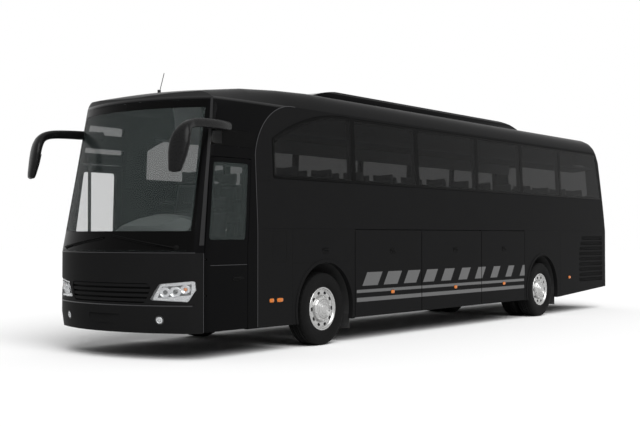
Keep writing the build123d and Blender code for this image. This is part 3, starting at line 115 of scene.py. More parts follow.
def finish_of(name, colour, rough, metal=0.0, vary=0.12, grain=30.0, bump=0.0, bump_grain=300.0,
              specular=0.5, coat=0.0, alpha=1.0, sheen=0.0, glow=0.0, weave=0.0):
    """A finish with fine changes of colour, gloss and height."""
    made = bpy.data.materials.new(name)
    made.use_nodes = True
    tree = made.node_tree
    shader = tree.nodes["Principled BSDF"]
    set_inputs(shader, {
        "Metallic": metal, "Specular IOR Level": specular, "Coat Weight": coat, "Coat Roughness": 0.08,
        "Alpha": alpha, "Sheen Weight": sheen, "Emission Color": (*colour, 1), "Emission Strength": glow,
    })
    place = {"Vector": add_node(tree, "ShaderNodeTexCoord").outputs["Object"]}
    noise = add_node(tree, "ShaderNodeTexNoise", {"Scale": grain, "Detail": 6.0}, place).outputs["Fac"]
    dark = (*[c * (1 - vary) for c in colour], 1)
    pale = (*[min(1.0, c * (1 + vary)) for c in colour], 1)
    tint = add_node(tree, "ShaderNodeMix", {MIX_FIRST: dark, MIX_SECOND: pale}, {MIX_FACTOR: noise},
                    data_type="RGBA")
    tree.links.new(tint.outputs[MIX_RESULT], shader.inputs["Base Color"])
    span = {"To Min": rough * GLOSS_LOW, "To Max": min(1.0, rough * GLOSS_HIGH)}
    gloss = add_node(tree, "ShaderNodeMapRange", span, {"Value": noise})
    tree.links.new(gloss.outputs["Result"], shader.inputs["Roughness"])
    if bump or weave:
        height = add_node(tree, "ShaderNodeTexNoise", {"Scale": bump_grain}, place).outputs["Fac"]
        if weave:
            threads = add_node(tree, "ShaderNodeTexWave", {"Scale": weave, "Distortion": 1.5}, place,
                               bands_direction="DIAGONAL")
            both = add_node(tree, "ShaderNodeMath", links={0: height, 1: threads.outputs["Fac"]},
                            operation="MULTIPLY")
            height = both.outputs["Value"]
        relief = add_node(tree, "ShaderNodeBump", {"Strength": bump, "Distance": 0.002}, {"Height": height})
        tree.links.new(relief.outputs["Normal"], shader.inputs["Normal"])
    return made


def paler_with_painted_sheen(finish, axis, low, high, colour, specular):
    """A finish that turns paler and glossier between two places along an axis: painted highlight, real gloss.
    """
    tree = finish.node_tree
    shader = tree.nodes["Principled BSDF"]
    base = shader.inputs["Base Color"]
    shine = shader.inputs["Specular IOR Level"]
    place = add_node(tree, "ShaderNodeTexCoord").outputs["Object"]
    split = add_node(tree, "ShaderNodeSeparateXYZ", links={"Vector": place})
    ramp = add_node(tree, "ShaderNodeMapRange", {"From Min": low, "From Max": high},
                    {"Value": split.outputs[axis]})
    share = ramp.outputs["Result"]
    mix = add_node(tree, "ShaderNodeMix", {MIX_SECOND: (*colour, 1)},
                   {MIX_FIRST: base.links[0].from_socket, MIX_FACTOR: share}, data_type="RGBA")
    tree.links.new(mix.outputs[MIX_RESULT], base)
    gloss = add_node(tree, "ShaderNodeMapRange", {"To Min": shine.default_value, "To Max": specular},
                     {"Value": share})
    tree.links.new(gloss.outputs["Result"], shine)
    return finish


# Paint, trim and rubber outside
PAINT = finish_of("satin_black_paint", (0.0096, 0.0096, 0.0098), 0.34, specular=0.006, vary=0.06, grain=3,
                  bump=0.03, bump_grain=900)
GLOSS = finish_of("gloss_black", (0.003, 0.003, 0.0032), 0.12, specular=0.02, vary=0.08, grain=5)
ROOF = finish_of("satin_roof_paint", (0.0125, 0.0125, 0.0127), 0.32, specular=0.012, vary=0.06, grain=3,
                 bump=0.03)
# The roof turns paler towards the front: a painted highlight on its front, with a little more real gloss
paler_with_painted_sheen(ROOF, "X", 4.2, 5.7, (0.024, 0.024, 0.0243), 0.02)
FRAME = finish_of("gloss_frame", (0.003, 0.003, 0.0032), 0.2, specular=0.02, vary=0.08, grain=5)
# The frame turns paler above the windscreen: a painted highlight on the brow below the roof, with real gloss
paler_with_painted_sheen(FRAME, "Z", 3.215, 3.3, (0.052, 0.052, 0.0525), 0.4)
SHELL = finish_of("mirror_shell", (0.0045, 0.0045, 0.0047), 0.28, specular=0.11, grain=40, bump=0.06)
FRIT = finish_of("black_frit", (0.0022, 0.0022, 0.0022), 0.1, specular=0.03, vary=0.1, grain=200)
SEAL = finish_of("rubber_seal", (0.006, 0.006, 0.006), 0.62, specular=0.25, vary=0.2, grain=60, bump=0.1)
GAP = finish_of("panel_gap", (0.002, 0.002, 0.002), 0.8, specular=0.1, vary=0.3, grain=80)
# Pale grey for thin lines on edges and seams: a painted highlight where light catches them
EDGE = finish_of("painted_edge_highlight", (0.034, 0.034, 0.036), 0.35, specular=0.2, vary=0.1, grain=14)
# Satin grey for strips down the front pillars: a painted highlight on their rounded corners
PILLAR_SHEEN = finish_of("pillar_painted_sheen", (0.02, 0.02, 0.0205), 0.34, specular=0.05, vary=0.08, grain=5)
STRIPE = finish_of("grey_stripe", (0.086, 0.086, 0.0865), 0.42, specular=0.3, vary=0.06, grain=8)
BLACK_PLASTIC = finish_of("moulded_black", (0.009, 0.009, 0.009), 0.5, specular=0.35, vary=0.2, grain=50,
                          bump=0.15)
BLACK_STEEL = finish_of("door_steel", (0.02, 0.021, 0.021), 0.45, specular=0.3, grain=25, bump=0.05)

# Glass and lamps
TINT = finish_of("dark_tinted_glass", (0.006, 0.0062, 0.0062), 0.04, alpha=0.575, specular=0.06, vary=0.1,
                 grain=2)
CLEAR = finish_of("green_tinted_glass", (0.085, 0.105, 0.102), 0.03, alpha=0.145, specular=0.3, vary=0.1,
                  grain=2)
SIDE_CLEAR = finish_of("door_tinted_glass", (0.029, 0.038, 0.036), 0.03, alpha=0.36, specular=0.2, vary=0.1,
                       grain=2)
GLASS_MIRROR = finish_of("mirror_glass", (0.7, 0.72, 0.73), 0.03, metal=1, vary=0.03, grain=3)
LENS = finish_of("clear_lens", (0.45, 0.46, 0.47), 0.04, alpha=0.1, vary=0.03, grain=20)
CHROME = finish_of("lamp_reflector", (0.56, 0.57, 0.58), 0.18, metal=0.85, vary=0.05, grain=40)
AMBER = finish_of("amber_lens", (0.48, 0.13, 0.012), 0.25, specular=0.3, coat=0.1, vary=0.2, grain=90,
                  glow=0.04)
RED = finish_of("red_lens", (0.28, 0.008, 0.014), 0.16, specular=0.6, coat=0.6, vary=0.2, grain=90, glow=0.03)

# Running gear
UNDER = finish_of("underframe_black", (0.018, 0.018, 0.018), 0.7, vary=0.35, grain=12, bump=0.2,
                  bump_grain=120)
CAST = finish_of("cast_metal", (0.16, 0.16, 0.155), 0.6, metal=0.6, vary=0.3, grain=18, bump=0.3,
                 bump_grain=160)
BELLOWS = finish_of("bellows_rubber", (0.014, 0.014, 0.014), 0.75, vary=0.3, bump=0.3, bump_grain=90)
TYRE = finish_of("tyre_rubber", (0.0034, 0.0034, 0.0034), 0.78, specular=0.1, vary=0.35, grain=22, bump=0.3,
                 bump_grain=260)
ALLOY = finish_of("polished_rim", (0.43, 0.43, 0.425), 0.26, metal=0.75, vary=0.1, grain=16, bump=0.04)
# Dark floors of the rim's hand holes: painted shade inside the holes
RIM_HOLE_SHADE = finish_of("rim_hole_painted_shade", (0.02, 0.02, 0.02), 0.7, vary=0.3)

# Cabin
FLOORING = finish_of("floor_covering", (0.035, 0.036, 0.038), 0.7, vary=0.35, grain=220, bump=0.2,
                     bump_grain=500)
RACK_FRONT = finish_of("pale_rack_front", (0.55, 0.56, 0.56), 0.6, vary=0.06, grain=40, bump=0.1)
TRIM = finish_of("cabin_trim", (0.05, 0.054, 0.055), 0.65, vary=0.15, grain=70, bump=0.25, bump_grain=420)
DASH = finish_of("dash_skin", (0.055, 0.064, 0.062), 0.6, grain=60, bump=0.3, bump_grain=380)
CLOTH = finish_of("seat_cloth", (0.026, 0.027, 0.03), 0.9, vary=0.35, grain=160, bump=0.5, bump_grain=700,
                  sheen=0.25, weave=240)
PIPING = finish_of("seat_piping", (0.012, 0.012, 0.013), 0.6, vary=0.2, grain=90, bump=0.2)

NODE_FINISHES = {
    PAINT: ("left_wall right_wall side_skirts front_grille rear_wall rear_bumper front_panel front_bumper "
            "engine_lid left_flap_front left_flap_middle left_flap_rear right_flap_front right_flap_middle"),
    GLOSS: "driver_door front_door mid_door roof_fairing",
    FRAME: "front_frame",
    ROOF: "roof_panel",
    SHELL: "mirrors",
    BLACK_PLASTIC: "antenna wipers steering_wheel",
    TINT: "windows",
    CLEAR: "windscreen front_door_glass",
    SIDE_CLEAR: "driver_door_glass mid_door_glass",
    LENS: "front_lamps",
    RED: "tail_lamps",
    UNDER: "chassis_frame axles wheel_arches luggage_bay knuckle_left knuckle_right",
    CAST: "engine",
    BELLOWS: "air_springs",
    FLOORING: "cabin_floor entry_steps",
    TRIM: "luggage_racks",
    DASH: "dashboard",
    CLOTH: "seats",
    BLACK_STEEL: "front_door_arm mid_door_arm",
    TYRE: "tyre_front_left tyre_front_right tyre_rear_left tyre_rear_right",
    ALLOY: "rim_front_left rim_front_right rim_rear_left rim_rear_right",
}
for finish, names in NODE_FINISHES.items():
    for name in names.split():
        NODES[name].data.materials.clear()
        NODES[name].data.materials.append(finish)


# Soft edges and smooth shading of the panels
def smooth_by_angle(limit):
    """A modifier group that shades round faces smooth and keeps edges sharp above an angle."""
    group = bpy.data.node_groups.new("smooth_by_angle", "GeometryNodeTree")
    for way in ("INPUT", "OUTPUT"):
        group.interface.new_socket("Geometry", in_out=way, socket_type="NodeSocketGeometry")
    start = add_node(group, "NodeGroupInput")
    angle = add_node(group, "GeometryNodeInputMeshEdgeAngle")
    above = add_node(group, "FunctionNodeCompare", {1: limit}, {0: angle.outputs["Unsigned Angle"]},
                     data_type="FLOAT", operation="GREATER_THAN")
    faces = add_node(group, "GeometryNodeSetShadeSmooth", {"Shade Smooth": True},
                     {"Geometry": start.outputs[0]})
    edges = add_node(group, "GeometryNodeSetShadeSmooth", {"Shade Smooth": False},
                     {"Geometry": faces.outputs["Geometry"], "Selection": above.outputs["Result"]},
                     domain="EDGE")
    add_node(group, "NodeGroupOutput", links={0: edges.outputs["Geometry"]})
    return group


def modify(piece, name, kind, **settings):
    """Puts a modifier with its settings on an object."""
    made = piece.modifiers.new(name, kind)
    for key, value in settings.items():
        setattr(made, key, value)


ROUNDED = f"{NODE_FINISHES[PAINT]} {NODE_FINISHES[GLOSS]} front_frame roof_panel dashboard".split()
ROUNDED.remove("front_grille")
SMOOTH = smooth_by_angle(radians(30))
for name in ROUNDED:
    modify(NODES[name], "weld", "WELD", merge_threshold=0.00002)
    modify(NODES[name], "smooth", "NODES", node_group=SMOOTH)
    modify(NODES[name], "soft_edges", "BEVEL", width=0.004, segments=2, limit_method="ANGLE",
           angle_limit=radians(40), harden_normals=True)


# Surfaces of the body: a point from two places on one and how far the point stands out
def side_y(z):
    """Half width of the side at a height."""
    return HALF - TUMBLE * max(0.0, z - WAIST_Z)


def nose_at(z):
    """Station of the front's middle at a height, without the bumper's tuck."""
    return NOSE_X - FRONT_LEAN * max(0.0, z - SEAM_Z)


def side_point(side):
    """Points on one side, which leans in above the waist."""
    return lambda x, z, out: (x, side * (side_y(z) + out), z)


def upright_point(side, half):
    """Points on an upright plane along one side."""
    return lambda x, z, out: (x, side * (half + out), z)


def module_point(side):
    """Points on the front module's side, which turns into the rounded corner."""
    def at(x, z, out):
        over = max(0.0, x - (nose_at(z) - BOW_R + CORNER_BACK))
        corner = CORNER_Y + sqrt(max(0.0, CORNER_R**2 - over**2))
        return (x, side * (min(side_y(z), corner) + out), z)
    return at


def front_point(y, z, out):
    """Point on the bowed front and its round corners, with the bumper tucked in at its foot."""
    nose = nose_at(z) - TUCK * min(1.0, max(0.0, (TUCK_TOP_Z - z) / TUCK_HIGH))
    way = 1.0 if y >= 0 else -1.0
    width = abs(y)
    if width <= CORNER_Y * BOW_R / (BOW_R - CORNER_R):
        rise = sqrt(BOW_R**2 - width**2)
        return (nose - BOW_R + rise * (1 + out / BOW_R), way * width * (1 + out / BOW_R), z)
    over = min(CORNER_R, width - CORNER_Y)
    rise = sqrt(CORNER_R**2 - over**2)
    grow = 1 + out / CORNER_R
    return (nose - BOW_R + CORNER_BACK + rise * grow, way * (CORNER_Y + over * grow), z)


def rear_point(y, z, out):
    """Point on the rear face and its round corners."""
    tail = TAIL_X + REAR_LEAN * max(0.0, z - WAIST_Z)
    way = 1.0 if y >= 0 else -1.0
    width = abs(y)
    if width <= HALF - REAR_R:
        return (tail - out, y, z)
    over = min(REAR_R, width - HALF + REAR_R)
    rise = sqrt(REAR_R**2 - over**2)
    grow = 1 + out / REAR_R
    return (tail + REAR_R - rise * grow, way * (HALF - REAR_R + over * grow), z)


def mirrored(surface, side):
    """The front or the rear drawn on one side."""
    return lambda y, z, out: surface(side * y, z, out)


# Mesh forms
MERGE = 0.00001


def add_object(name, data):
    """A new object in the scene."""
    made = bpy.data.objects.new(name, data)
    scene.collection.objects.link(made)
    return made


def cleaned(name, form):
    """A form's mesh with its doubled points joined and its faces turned outwards."""
    mesh = bpy.data.meshes.new(name)
    mesh.from_pydata(form.points, [], form.faces)
    mesh.polygons.foreach_set("material_index", form.finishes)
    work = bmesh.new()
    work.from_mesh(mesh)
    bmesh.ops.remove_doubles(work, verts=work.verts, dist=MERGE)
    bmesh.ops.dissolve_degenerate(work, edges=work.edges, dist=MERGE)
    bmesh.ops.recalc_face_normals(work, faces=work.faces)
    work.to_mesh(mesh)
    work.free()
    return mesh


class Form:
    """Faces gathered into one piece, each with the number of its finish."""

    def __init__(self):
        self.points = []
        self.faces = []
        self.finishes = []

    def grid(self, rows, finish=0, ring=False, tube=False):
        """A sheet of quads through rows of points, closed along a row or from the last row to the first."""
        base = len(self.points)
        count = len(rows[0])
        for row in rows:
            self.points += [tuple(p) for p in row]
        for i in range(len(rows) if tube else len(rows) - 1):
            near, far = base + i * count, base + (i + 1) % len(rows) * count
            for j in range(count if ring else count - 1):
                k = (j + 1) % count
                self.faces.append((near + j, near + k, far + k, far + j))
                self.finishes.append(finish)

    def cap(self, points):
        """One flat face through points."""
        base = len(self.points)
        self.points += [tuple(p) for p in points]
        self.faces.append(tuple(range(base, base + len(points))))
        self.finishes.append(0)

    def plate(self, lower, upper, surface, near, far, finish, steps, rise):
        """A closed plate on a surface between two edges, from one depth to another."""
        front, back = [], []
        for s in np.linspace(0, 1, steps + 1):
            low, top = along(lower, s), along(upper, s)
            rows = [low + (top - low) * t for t in np.linspace(0, 1, rise + 1)]
            front.append([surface(p[0], p[1], near) for p in rows])
            back.append([surface(p[0], p[1], far) for p in rows])
        self.grid(front, finish)
        self.grid([row[::-1] for row in back], finish)
        self.grid([[f[0] for f in front], [b[0] for b in back]], finish)
        self.grid([[b[-1] for b in back], [f[-1] for f in front]], finish)
        self.grid([back[0], front[0]], finish)
        self.grid([front[-1], back[-1]], finish)

    def sweep(self, path, section, up=(0, 0, 1), sizes=None):
        """A bar along a path, with a closed section of offsets sideways and upwards."""
        path = [Vector(p) for p in path]
        rows = []
        for i, p in enumerate(path):
            ahead = (path[min(i + 1, len(path) - 1)] - path[max(i - 1, 0)]).normalized()
            across = ahead.cross(Vector(up)).normalized()
            lift = across.cross(ahead)
            size = sizes[i] if sizes else 1.0
            rows.append([p + across * a * size + lift * b * size for a, b in section])
        self.grid(rows, ring=True)
        self.cap(rows[0][::-1])
        self.cap(rows[-1])

    def lathe(self, x, z, side, out, profile, count, dip=None):
        """A ring turned about an axle from a profile of offset and radius, moved outwards."""
        rows = []
        for i, (y, r) in enumerate(profile):
            row = []
            for k in range(count):
                a = 2 * pi * k / count
                near = r - (dip(i, k) if dip else 0.0)
                row.append((x + near * cos(a), side * (out + y), z + near * sin(a)))
            rows.append(row)
        self.grid(rows, ring=True)

    def made(self, name, body, slot, finishes, sharp=38.0):
        """The piece as an object that rides on a body."""
        mesh = cleaned(name, self)
        for finish in finishes:
            mesh.materials.append(finish)
        mesh.polygons.foreach_set("use_smooth", [True] * len(mesh.polygons))
        mesh.set_sharp_from_angle(angle=radians(sharp))
        made = add_object(name, mesh)
        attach(made, body)
        return made


def bent(value, power):
    """Value raised to a power with its sign kept."""
    return copysign(abs(value) ** power, value)


def turns(n):
    """Angles evenly round a circle."""
    return np.linspace(0, 2 * pi, n, endpoint=False)


def along(points, share):
    """Point at a share of the way along a run of points."""
    points = np.array(points, float)
    steps = np.linalg.norm(np.diff(points, axis=0), axis=1)
    at = np.concatenate([[0], np.cumsum(steps)]) / steps.sum()
    return np.array([np.interp(share, at, points[:, i]) for i in range(points.shape[1])])


def arc_points(first, middle, last, n):
    """Points on the arc through three points."""
    (ax, ay), (bx, by), (cx, cy) = first, middle, last
    a, b, c = ax**2 + ay**2, bx**2 + by**2, cx**2 + cy**2
    d = 2 * (ax * (by - cy) + bx * (cy - ay) + cx * (ay - by))
    ux = (a * (by - cy) + b * (cy - ay) + c * (ay - by)) / d
    uy = (a * (cx - bx) + b * (ax - cx) + c * (bx - ax)) / d
    r = hypot(ax - ux, ay - uy)
    ends = np.unwrap([atan2(p[1] - uy, p[0] - ux) for p in (first, middle, last)])
    return [(ux + r * cos(t), uy + r * sin(t)) for t in np.linspace(ends[0], ends[2], n)]


def round_section(wide, high, n=12):
    """A closed rounded section."""
    return [(wide / 2 * bent(cos(a), 0.7), high / 2 * bent(sin(a), 0.7)) for a in turns(n)]


def curve(points, n):
    """A smooth run of points drawn by a NURBS spline of order 3."""
    data = bpy.data.curves.new("route", "CURVE")
    data.dimensions = "3D"
    data.resolution_u = n
    spline = data.splines.new("NURBS")
    spline.points.add(len(points) - 1)
    for p, q in zip(spline.points, points):
        p.co = (*q, 1)
    spline.use_endpoint_u = True
    spline.order_u = 3
    holder = bpy.data.objects.new("route", data)
    mesh = bpy.data.meshes.new_from_object(holder)
    run = [v.co.copy() for v in mesh.vertices]
    bpy.data.objects.remove(holder)
    return run


# Forms that lie on a surface
STRIP_BACK = -0.001
LINE_STEP, LINE_RISE = 0.12, 0.007


def line(form, points, surface, wide, out, finish=0):
    """A thin flat strip on a surface through points."""
    rise = max(1, round(wide / LINE_RISE))
    for start, end in zip(points[:-1], points[1:]):
        start, end = np.array(start, float), np.array(end, float)
        reach = np.linalg.norm(end - start)
        ahead = (end - start) / reach
        across = np.array((-ahead[1], ahead[0])) * wide / 2
        form.plate((start - across, end - across), (start + across, end + across), surface, out, STRIP_BACK,
                   finish, max(1, int(reach / LINE_STEP)), rise)


def outline(centre, wide, high, out, surface, count, power=1.0):
    """Points round an outline on a surface, from an ellipse at power 1 to a box at a low power."""
    return [surface(centre[0] + wide * bent(cos(a), power), centre[1] + high * bent(sin(a), power), out)
            for a in turns(count)]


def dish(form, centre, radius, depth, surface, finish, bulge=0.0, count=28):
    """A round bowl or dome in a surface, from its rim inwards."""
    rows = [outline(centre, radius * t, radius * t, depth * (1 - t * t) + bulge, surface, count)
            for t in np.linspace(1, 0.02, 9)]
    form.grid(rows, finish, ring=True)


def ring(form, centre, radius, tube, surface, finish, out):
    """A round bead on a surface."""
    rows = []
    for b in turns(10):
        r = radius + tube * cos(b)
        rows.append(outline(centre, r, r, out + tube * sin(b), surface, 32))
    form.grid(rows, finish, ring=True, tube=True)


def layered(form, centre, half, layers, surface, power, count, finish=0):
    """A low rounded form on a surface, from outlines of a share of its size and a height."""
    rows = [outline(centre, half[0] * t, half[1] * t, out, surface, count, power) for t, out in layers]
    form.grid(rows, finish, ring=True)


def grip(form, x, z, half, out, bow, section, surface, count):
    """A bowed bar along a surface."""
    form.sweep([surface(x + half * t, z, out - bow * t * t) for t in np.linspace(-1, 1, count)], section)


# Wheels: profiles are points of offset outwards from the tyre's middle, and radius
TREAD = (
    (-0.112, 0.2875), (-0.121, 0.3), (-0.137, 0.338), (-0.1455, 0.384), (-0.1475, 0.42), (-0.1445, 0.452),
    (-0.1365, 0.474), (-0.127, 0.49), (-0.118, 0.4985), (-0.098, 0.502), (-0.076, 0.5035), (-0.073, 0.492),
    (-0.063, 0.492), (-0.06, 0.5042), (-0.024, 0.5049), (-0.021, 0.493), (-0.011, 0.493), (-0.008, 0.505),
)
TYRE_PROFILE = TREAD + tuple((-y, r) for y, r in reversed(TREAD))
TYRE_BORE = (TYRE_PROFILE[-1], TYRE_PROFILE[0])
SHOULDER = (8, 9, 10)
BLOCK_ROWS = {*SHOULDER, *(len(TYRE_PROFILE) - 1 - row for row in SHOULDER)}
BLOCK_EVERY, BLOCK_DEEP = 4, 0.007
RIM_FACE = (
    (-0.126, 0.272), (-0.126, 0.2985), (-0.1165, 0.2985), (-0.1165, 0.287), (0.1165, 0.287), (0.1165, 0.2985),
    (0.1235, 0.3), (0.1275, 0.297), (0.1285, 0.29), (0.126, 0.283), (0.112, 0.276), (0.104, 0.27),
    (0.101, 0.264),
)
RIM_DISC = [(0.101 + 0.01 * sin(pi * t), 0.264 - 0.08 * t) for t in np.linspace(0, 1, 19)]
RIM_CAP = (
    (0.101, 0.184), (0.099, 0.18), (0.104, 0.178), (0.114, 0.1765), (0.127, 0.17), (0.137, 0.16),
    (0.142, 0.15), (0.1435, 0.141), (0.1365, 0.137), (0.1375, 0.131), (0.147, 0.126), (0.1515, 0.112),
    (0.1465, 0.109), (0.147, 0.104), (0.1545, 0.1), (0.158, 0.085), (0.1595, 0.072), (0.155, 0.069),
    (0.1555, 0.065), (0.162, 0.061), (0.164, 0.032), (0.165, 0.0005),
)
HUB_OUT, HUB_R, HUB_BORE = 0.074, 0.096, 0.046
RIM_BACK = ((-0.126, 0.272), (HUB_OUT, 0.266), (HUB_OUT, HUB_R))
TWIN_DISC = ((0.101, 0.264), (0.096, 0.2), (0.096, HUB_R), *RIM_BACK[::-1])
NUT = ((0.128, 0.0125), (0.1395, 0.0125), (0.1425, 0.0095), (0.1425, 0.0002))
NUTS, NUT_RING = 10, 0.162
HAND_HOLES = 10
HOLE_R, HOLE_HIGH, HOLE_WIDE, HOLE_DEEP = 0.226, 0.019, 0.028, 0.05
TYRE_STEPS, FACE_STEPS, RIM_STEPS, HUB_STEPS, NUT_STEPS = 160, 240, 120, 64, 12
WHEELS = (  # name, axle, steps inwards to each tyre and where the hub ends
    ("front", FRONT_AXLE_X, (0.0,), 1.031),
    ("rear", REAR_AXLE_X, (0.0, TWIN), 0.615),
)


def tread_dip(row, step):
    """Depth of the cut between two blocks on the tyre's shoulders."""
    return BLOCK_DEEP if row in BLOCK_ROWS and step % BLOCK_EVERY == 0 else 0.0


def rim_disc(form, x, side):
    """The wheel's dished face with a ring of hand holes, and the hollows behind them in painted shade."""
    rows, sunk = [], set()
    first = len(form.faces)
    for y, r in RIM_DISC:
        row = []
        for k in range(FACE_STEPS):
            a = 2 * pi * k / FACE_STEPS
            turn = (a * HAND_HOLES / (2 * pi) + 0.5) % 1.0 - 0.5
            wide = turn * 2 * pi / HAND_HOLES * HOLE_R / HOLE_WIDE
            hole = wide**2 + ((r - HOLE_R) / HOLE_HIGH) ** 2 < 1
            if hole:
                sunk.add(len(form.points) + len(rows) * FACE_STEPS + k)
            out = TYRE_Y + y - (HOLE_DEEP if hole else 0)
            row.append((x + r * cos(a), side * out, WHEEL_Z + r * sin(a)))
        rows.append(row)
    form.grid(rows, ring=True)
    # Faces sunk into the holes take the dark finish: painted shade inside the holes
    for number in range(first, len(form.faces)):
        if sunk.intersection(form.faces[number]):
            form.finishes[number] = 1


def add_wheel(place, hand, side, x, steps, hub_in):
    """Tyre and rim of one wheel or twin pair."""
    tyre, rim = Form(), Form()
    axle = (x, WHEEL_Z, side)
    for step in steps:
        tyre.lathe(*axle, TYRE_Y - step, TYRE_PROFILE, TYRE_STEPS, tread_dip)
        tyre.lathe(*axle, TYRE_Y - step, TYRE_BORE, TYRE_STEPS)
        if step:
            rim.lathe(*axle, TYRE_Y - step, RIM_FACE, RIM_STEPS)
            rim.lathe(*axle, TYRE_Y - step, TWIN_DISC, RIM_STEPS)
    rim.lathe(*axle, TYRE_Y, RIM_FACE, FACE_STEPS)
    rim_disc(rim, x, side)
    rim.lathe(*axle, TYRE_Y, RIM_CAP, RIM_STEPS)
    rim.lathe(*axle, TYRE_Y, RIM_BACK, RIM_STEPS)
    hub = ((TYRE_Y + HUB_OUT, HUB_R), (hub_in, HUB_R), (hub_in, HUB_BORE))
    rim.lathe(*axle, 0, hub, HUB_STEPS)
    for k in range(NUTS):
        a = 2 * pi * (k + 0.5) / NUTS
        rim.lathe(x + NUT_RING * cos(a), WHEEL_Z + NUT_RING * sin(a), side, TYRE_Y, NUT, NUT_STEPS)
    body = f"wheel_{place}_{hand}"
    tread = tyre.made(f"tread_{place}_{hand}", body, "tyre_rubber", [TYRE], 50)
    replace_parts(tread, f"tyre_{place}_{hand}")
    alloy = rim.made(f"alloy_{place}_{hand}", body, "rim_metal", [ALLOY, RIM_HOLE_SHADE], 32)
    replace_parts(alloy, f"rim_{place}_{hand}")


for place, axle_x, steps, hub_in in WHEELS:
    for hand, side in HANDS:
        add_wheel(place, hand, side, axle_x, steps, hub_in)

# Headlamps and fog lamps: places are offset and height on the front
LAMP_LOW = ((0.702, 0.737), (1.149, 0.718), (1.222, 0.858))
LAMP_TOP = ((0.702, 0.737), (0.816, 0.93), (1.214, 0.97), (1.222, 0.858))
FOG = (0.82, 0.495)
BRIGHT, BULB, TURN, HOUSING = range(4)
BOWLS = ((0.885, 0.832, 0.06, BULB), (1.005, 0.838, 0.062, BULB), (1.118, 0.868, 0.05, TURN))
LAMP_TRIMS = (  # lower and upper edge, front and back depth, finish, steps along and up
    (((0.792, 0.766), (1.176, 0.8)), ((0.846, 0.898), (1.186, 0.928)), -0.03, -0.036, HOUSING, 16, 5),
    (((0.745, 0.748), (1.14, 0.733)), ((0.752, 0.764), (1.135, 0.752)), -0.012, -0.034, BRIGHT, 18, 2),
    (((0.835, 0.908), (1.195, 0.946)), ((0.838, 0.92), (1.196, 0.958)), -0.01, -0.034, BRIGHT, 18, 2),
)
lamps = Form()
covers = Form()
for side in SIDES:
    surface = mirrored(front_point, side)
    lamps.plate(LAMP_LOW, LAMP_TOP, surface, -0.036, -0.043, BRIGHT, 22, 8)
    covers.plate(LAMP_LOW, LAMP_TOP, surface, -0.0005, -0.0035, 0, 22, 8)
    for y, z, r, bulb in BOWLS:
        ring(lamps, (y, z), r, 0.006, surface, BRIGHT, -0.016)
        dish(lamps, (y, z), r, -0.018, surface, BRIGHT, -0.016)
        dish(lamps, (y, z), r * 0.42, 0.014, surface, bulb, -0.03)
    for low, top, near, far, finish, steps, rise in LAMP_TRIMS:
        lamps.plate(low, top, surface, near, far, finish, steps, rise)
    ring(lamps, FOG, 0.05, 0.0075, surface, HOUSING, -0.006)
    dish(lamps, FOG, 0.056, -0.004, surface, HOUSING, -0.008)
    ring(lamps, FOG, 0.037, 0.004, surface, BRIGHT, -0.005)
    dish(lamps, FOG, 0.037, 0.006, surface, BRIGHT, -0.006)
    ring(lamps, FOG, 0.018, 0.0025, surface, HOUSING, -0.0015)
    dish(covers, FOG, 0.042, 0.004, surface, 0, 0.002)
reflectors = lamps.made("lamp_reflectors", "body", "clear_lamp", [CHROME, LENS, AMBER, BLACK_PLASTIC])
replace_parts(reflectors, "front_lamps")
covers.made("lamp_covers", "body", "clear_lamp", [LENS])

# Tail lamps: four round domes in each column
TAIL_Y, TAIL_Z, TAIL_PITCH, TAIL_R = 1.16, 0.985, 0.152, 0.064
TAIL_LOW, TAIL_TOP = ((1.083, 0.905), (1.213, 0.905)), ((1.083, 1.526), (1.213, 1.526))
tails = Form()
for side in SIDES:
    surface = mirrored(rear_point, side)
    tails.plate(TAIL_LOW, TAIL_TOP, surface, -0.014, -0.043, 1, 8, 10)
    for row in range(4):
        centre = (TAIL_Y, TAIL_Z + TAIL_PITCH * row)
        dish(tails, centre, TAIL_R, 0.034, surface, 0, -0.012)
        ring(tails, centre, TAIL_R + 0.001, 0.005, surface, 1, -0.01)
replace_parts(tails.made("tail_lamp_domes", "body", "red_lamp", [RED, GLOSS]), "tail_lamps")

# Amber side markers on the panels and flaps
MARKER, REPEATER = 0.045, 0.062
MARKER_HIGH = 0.026
MARKERS = (  # panel, station, height, half length and the sides that have it
    ("body", 4.675, 0.675, MARKER, SIDES), ("body", 4.505, 0.675, REPEATER, (1,)),
    ("flap_front", 1.795, 0.675, MARKER, SIDES), ("flap_middle", -0.105, 0.675, MARKER, SIDES),
    ("flap_rear", -1.825, 0.675, MARKER, (1,)), ("body", -4.615, 0.7, MARKER, SIDES),
)
for hand, side in HANDS:
    for index, (panel, x, z, wide, _) in enumerate([row for row in MARKERS if side in row[-1]]):
        body = panel if panel == "body" else f"{hand}_{panel}"
        form = Form()
        for grow, high, finish in ((1.18, 0.004, 1), (1.0, 0.012, 0)):
            layers = ((1.0, -0.001), (1.0, high * 0.6), (0.86, high), (0.02, high * 1.12))
            half = (wide * grow, MARKER_HIGH * grow)
            layered(form, (x, z), half, layers, side_point(side), 0.5, 24, finish)
        form.made(f"marker_{hand}_{index}", body, "clear_lamp", [AMBER, SEAL])

# Handles of the flaps and front lockers: body, side, station and height
HANDLES = (
    ("left_flap_front", 1, 1.79, 1.29), ("left_flap_middle", 1, -0.111, 1.29),
    ("left_flap_rear", 1, -1.835, 1.29), ("right_flap_front", -1, 1.79, 1.29),
    ("right_flap_middle", -1, -0.34, 1.29), ("body", 1, 3.495, 1.315), ("body", -1, 3.495, 1.315),
)
HANDLE_CUP = ((1.0, -0.001), (1.0, 0.004), (0.9, 0.0055), (0.84, 0.003), (0.02, 0.0015))
for index, (body, side, x, z) in enumerate(HANDLES):
    form = Form()
    layered(form, (x, z), (0.075, 0.04), HANDLE_CUP, side_point(side), 0.6, 32)
    grip(form, x, z + 0.012, 0.055, 0.009, 0.004, round_section(0.016, 0.022), side_point(side), 9)
    form.made(f"flap_handle_{index}", body, "gloss_black", [GAP])

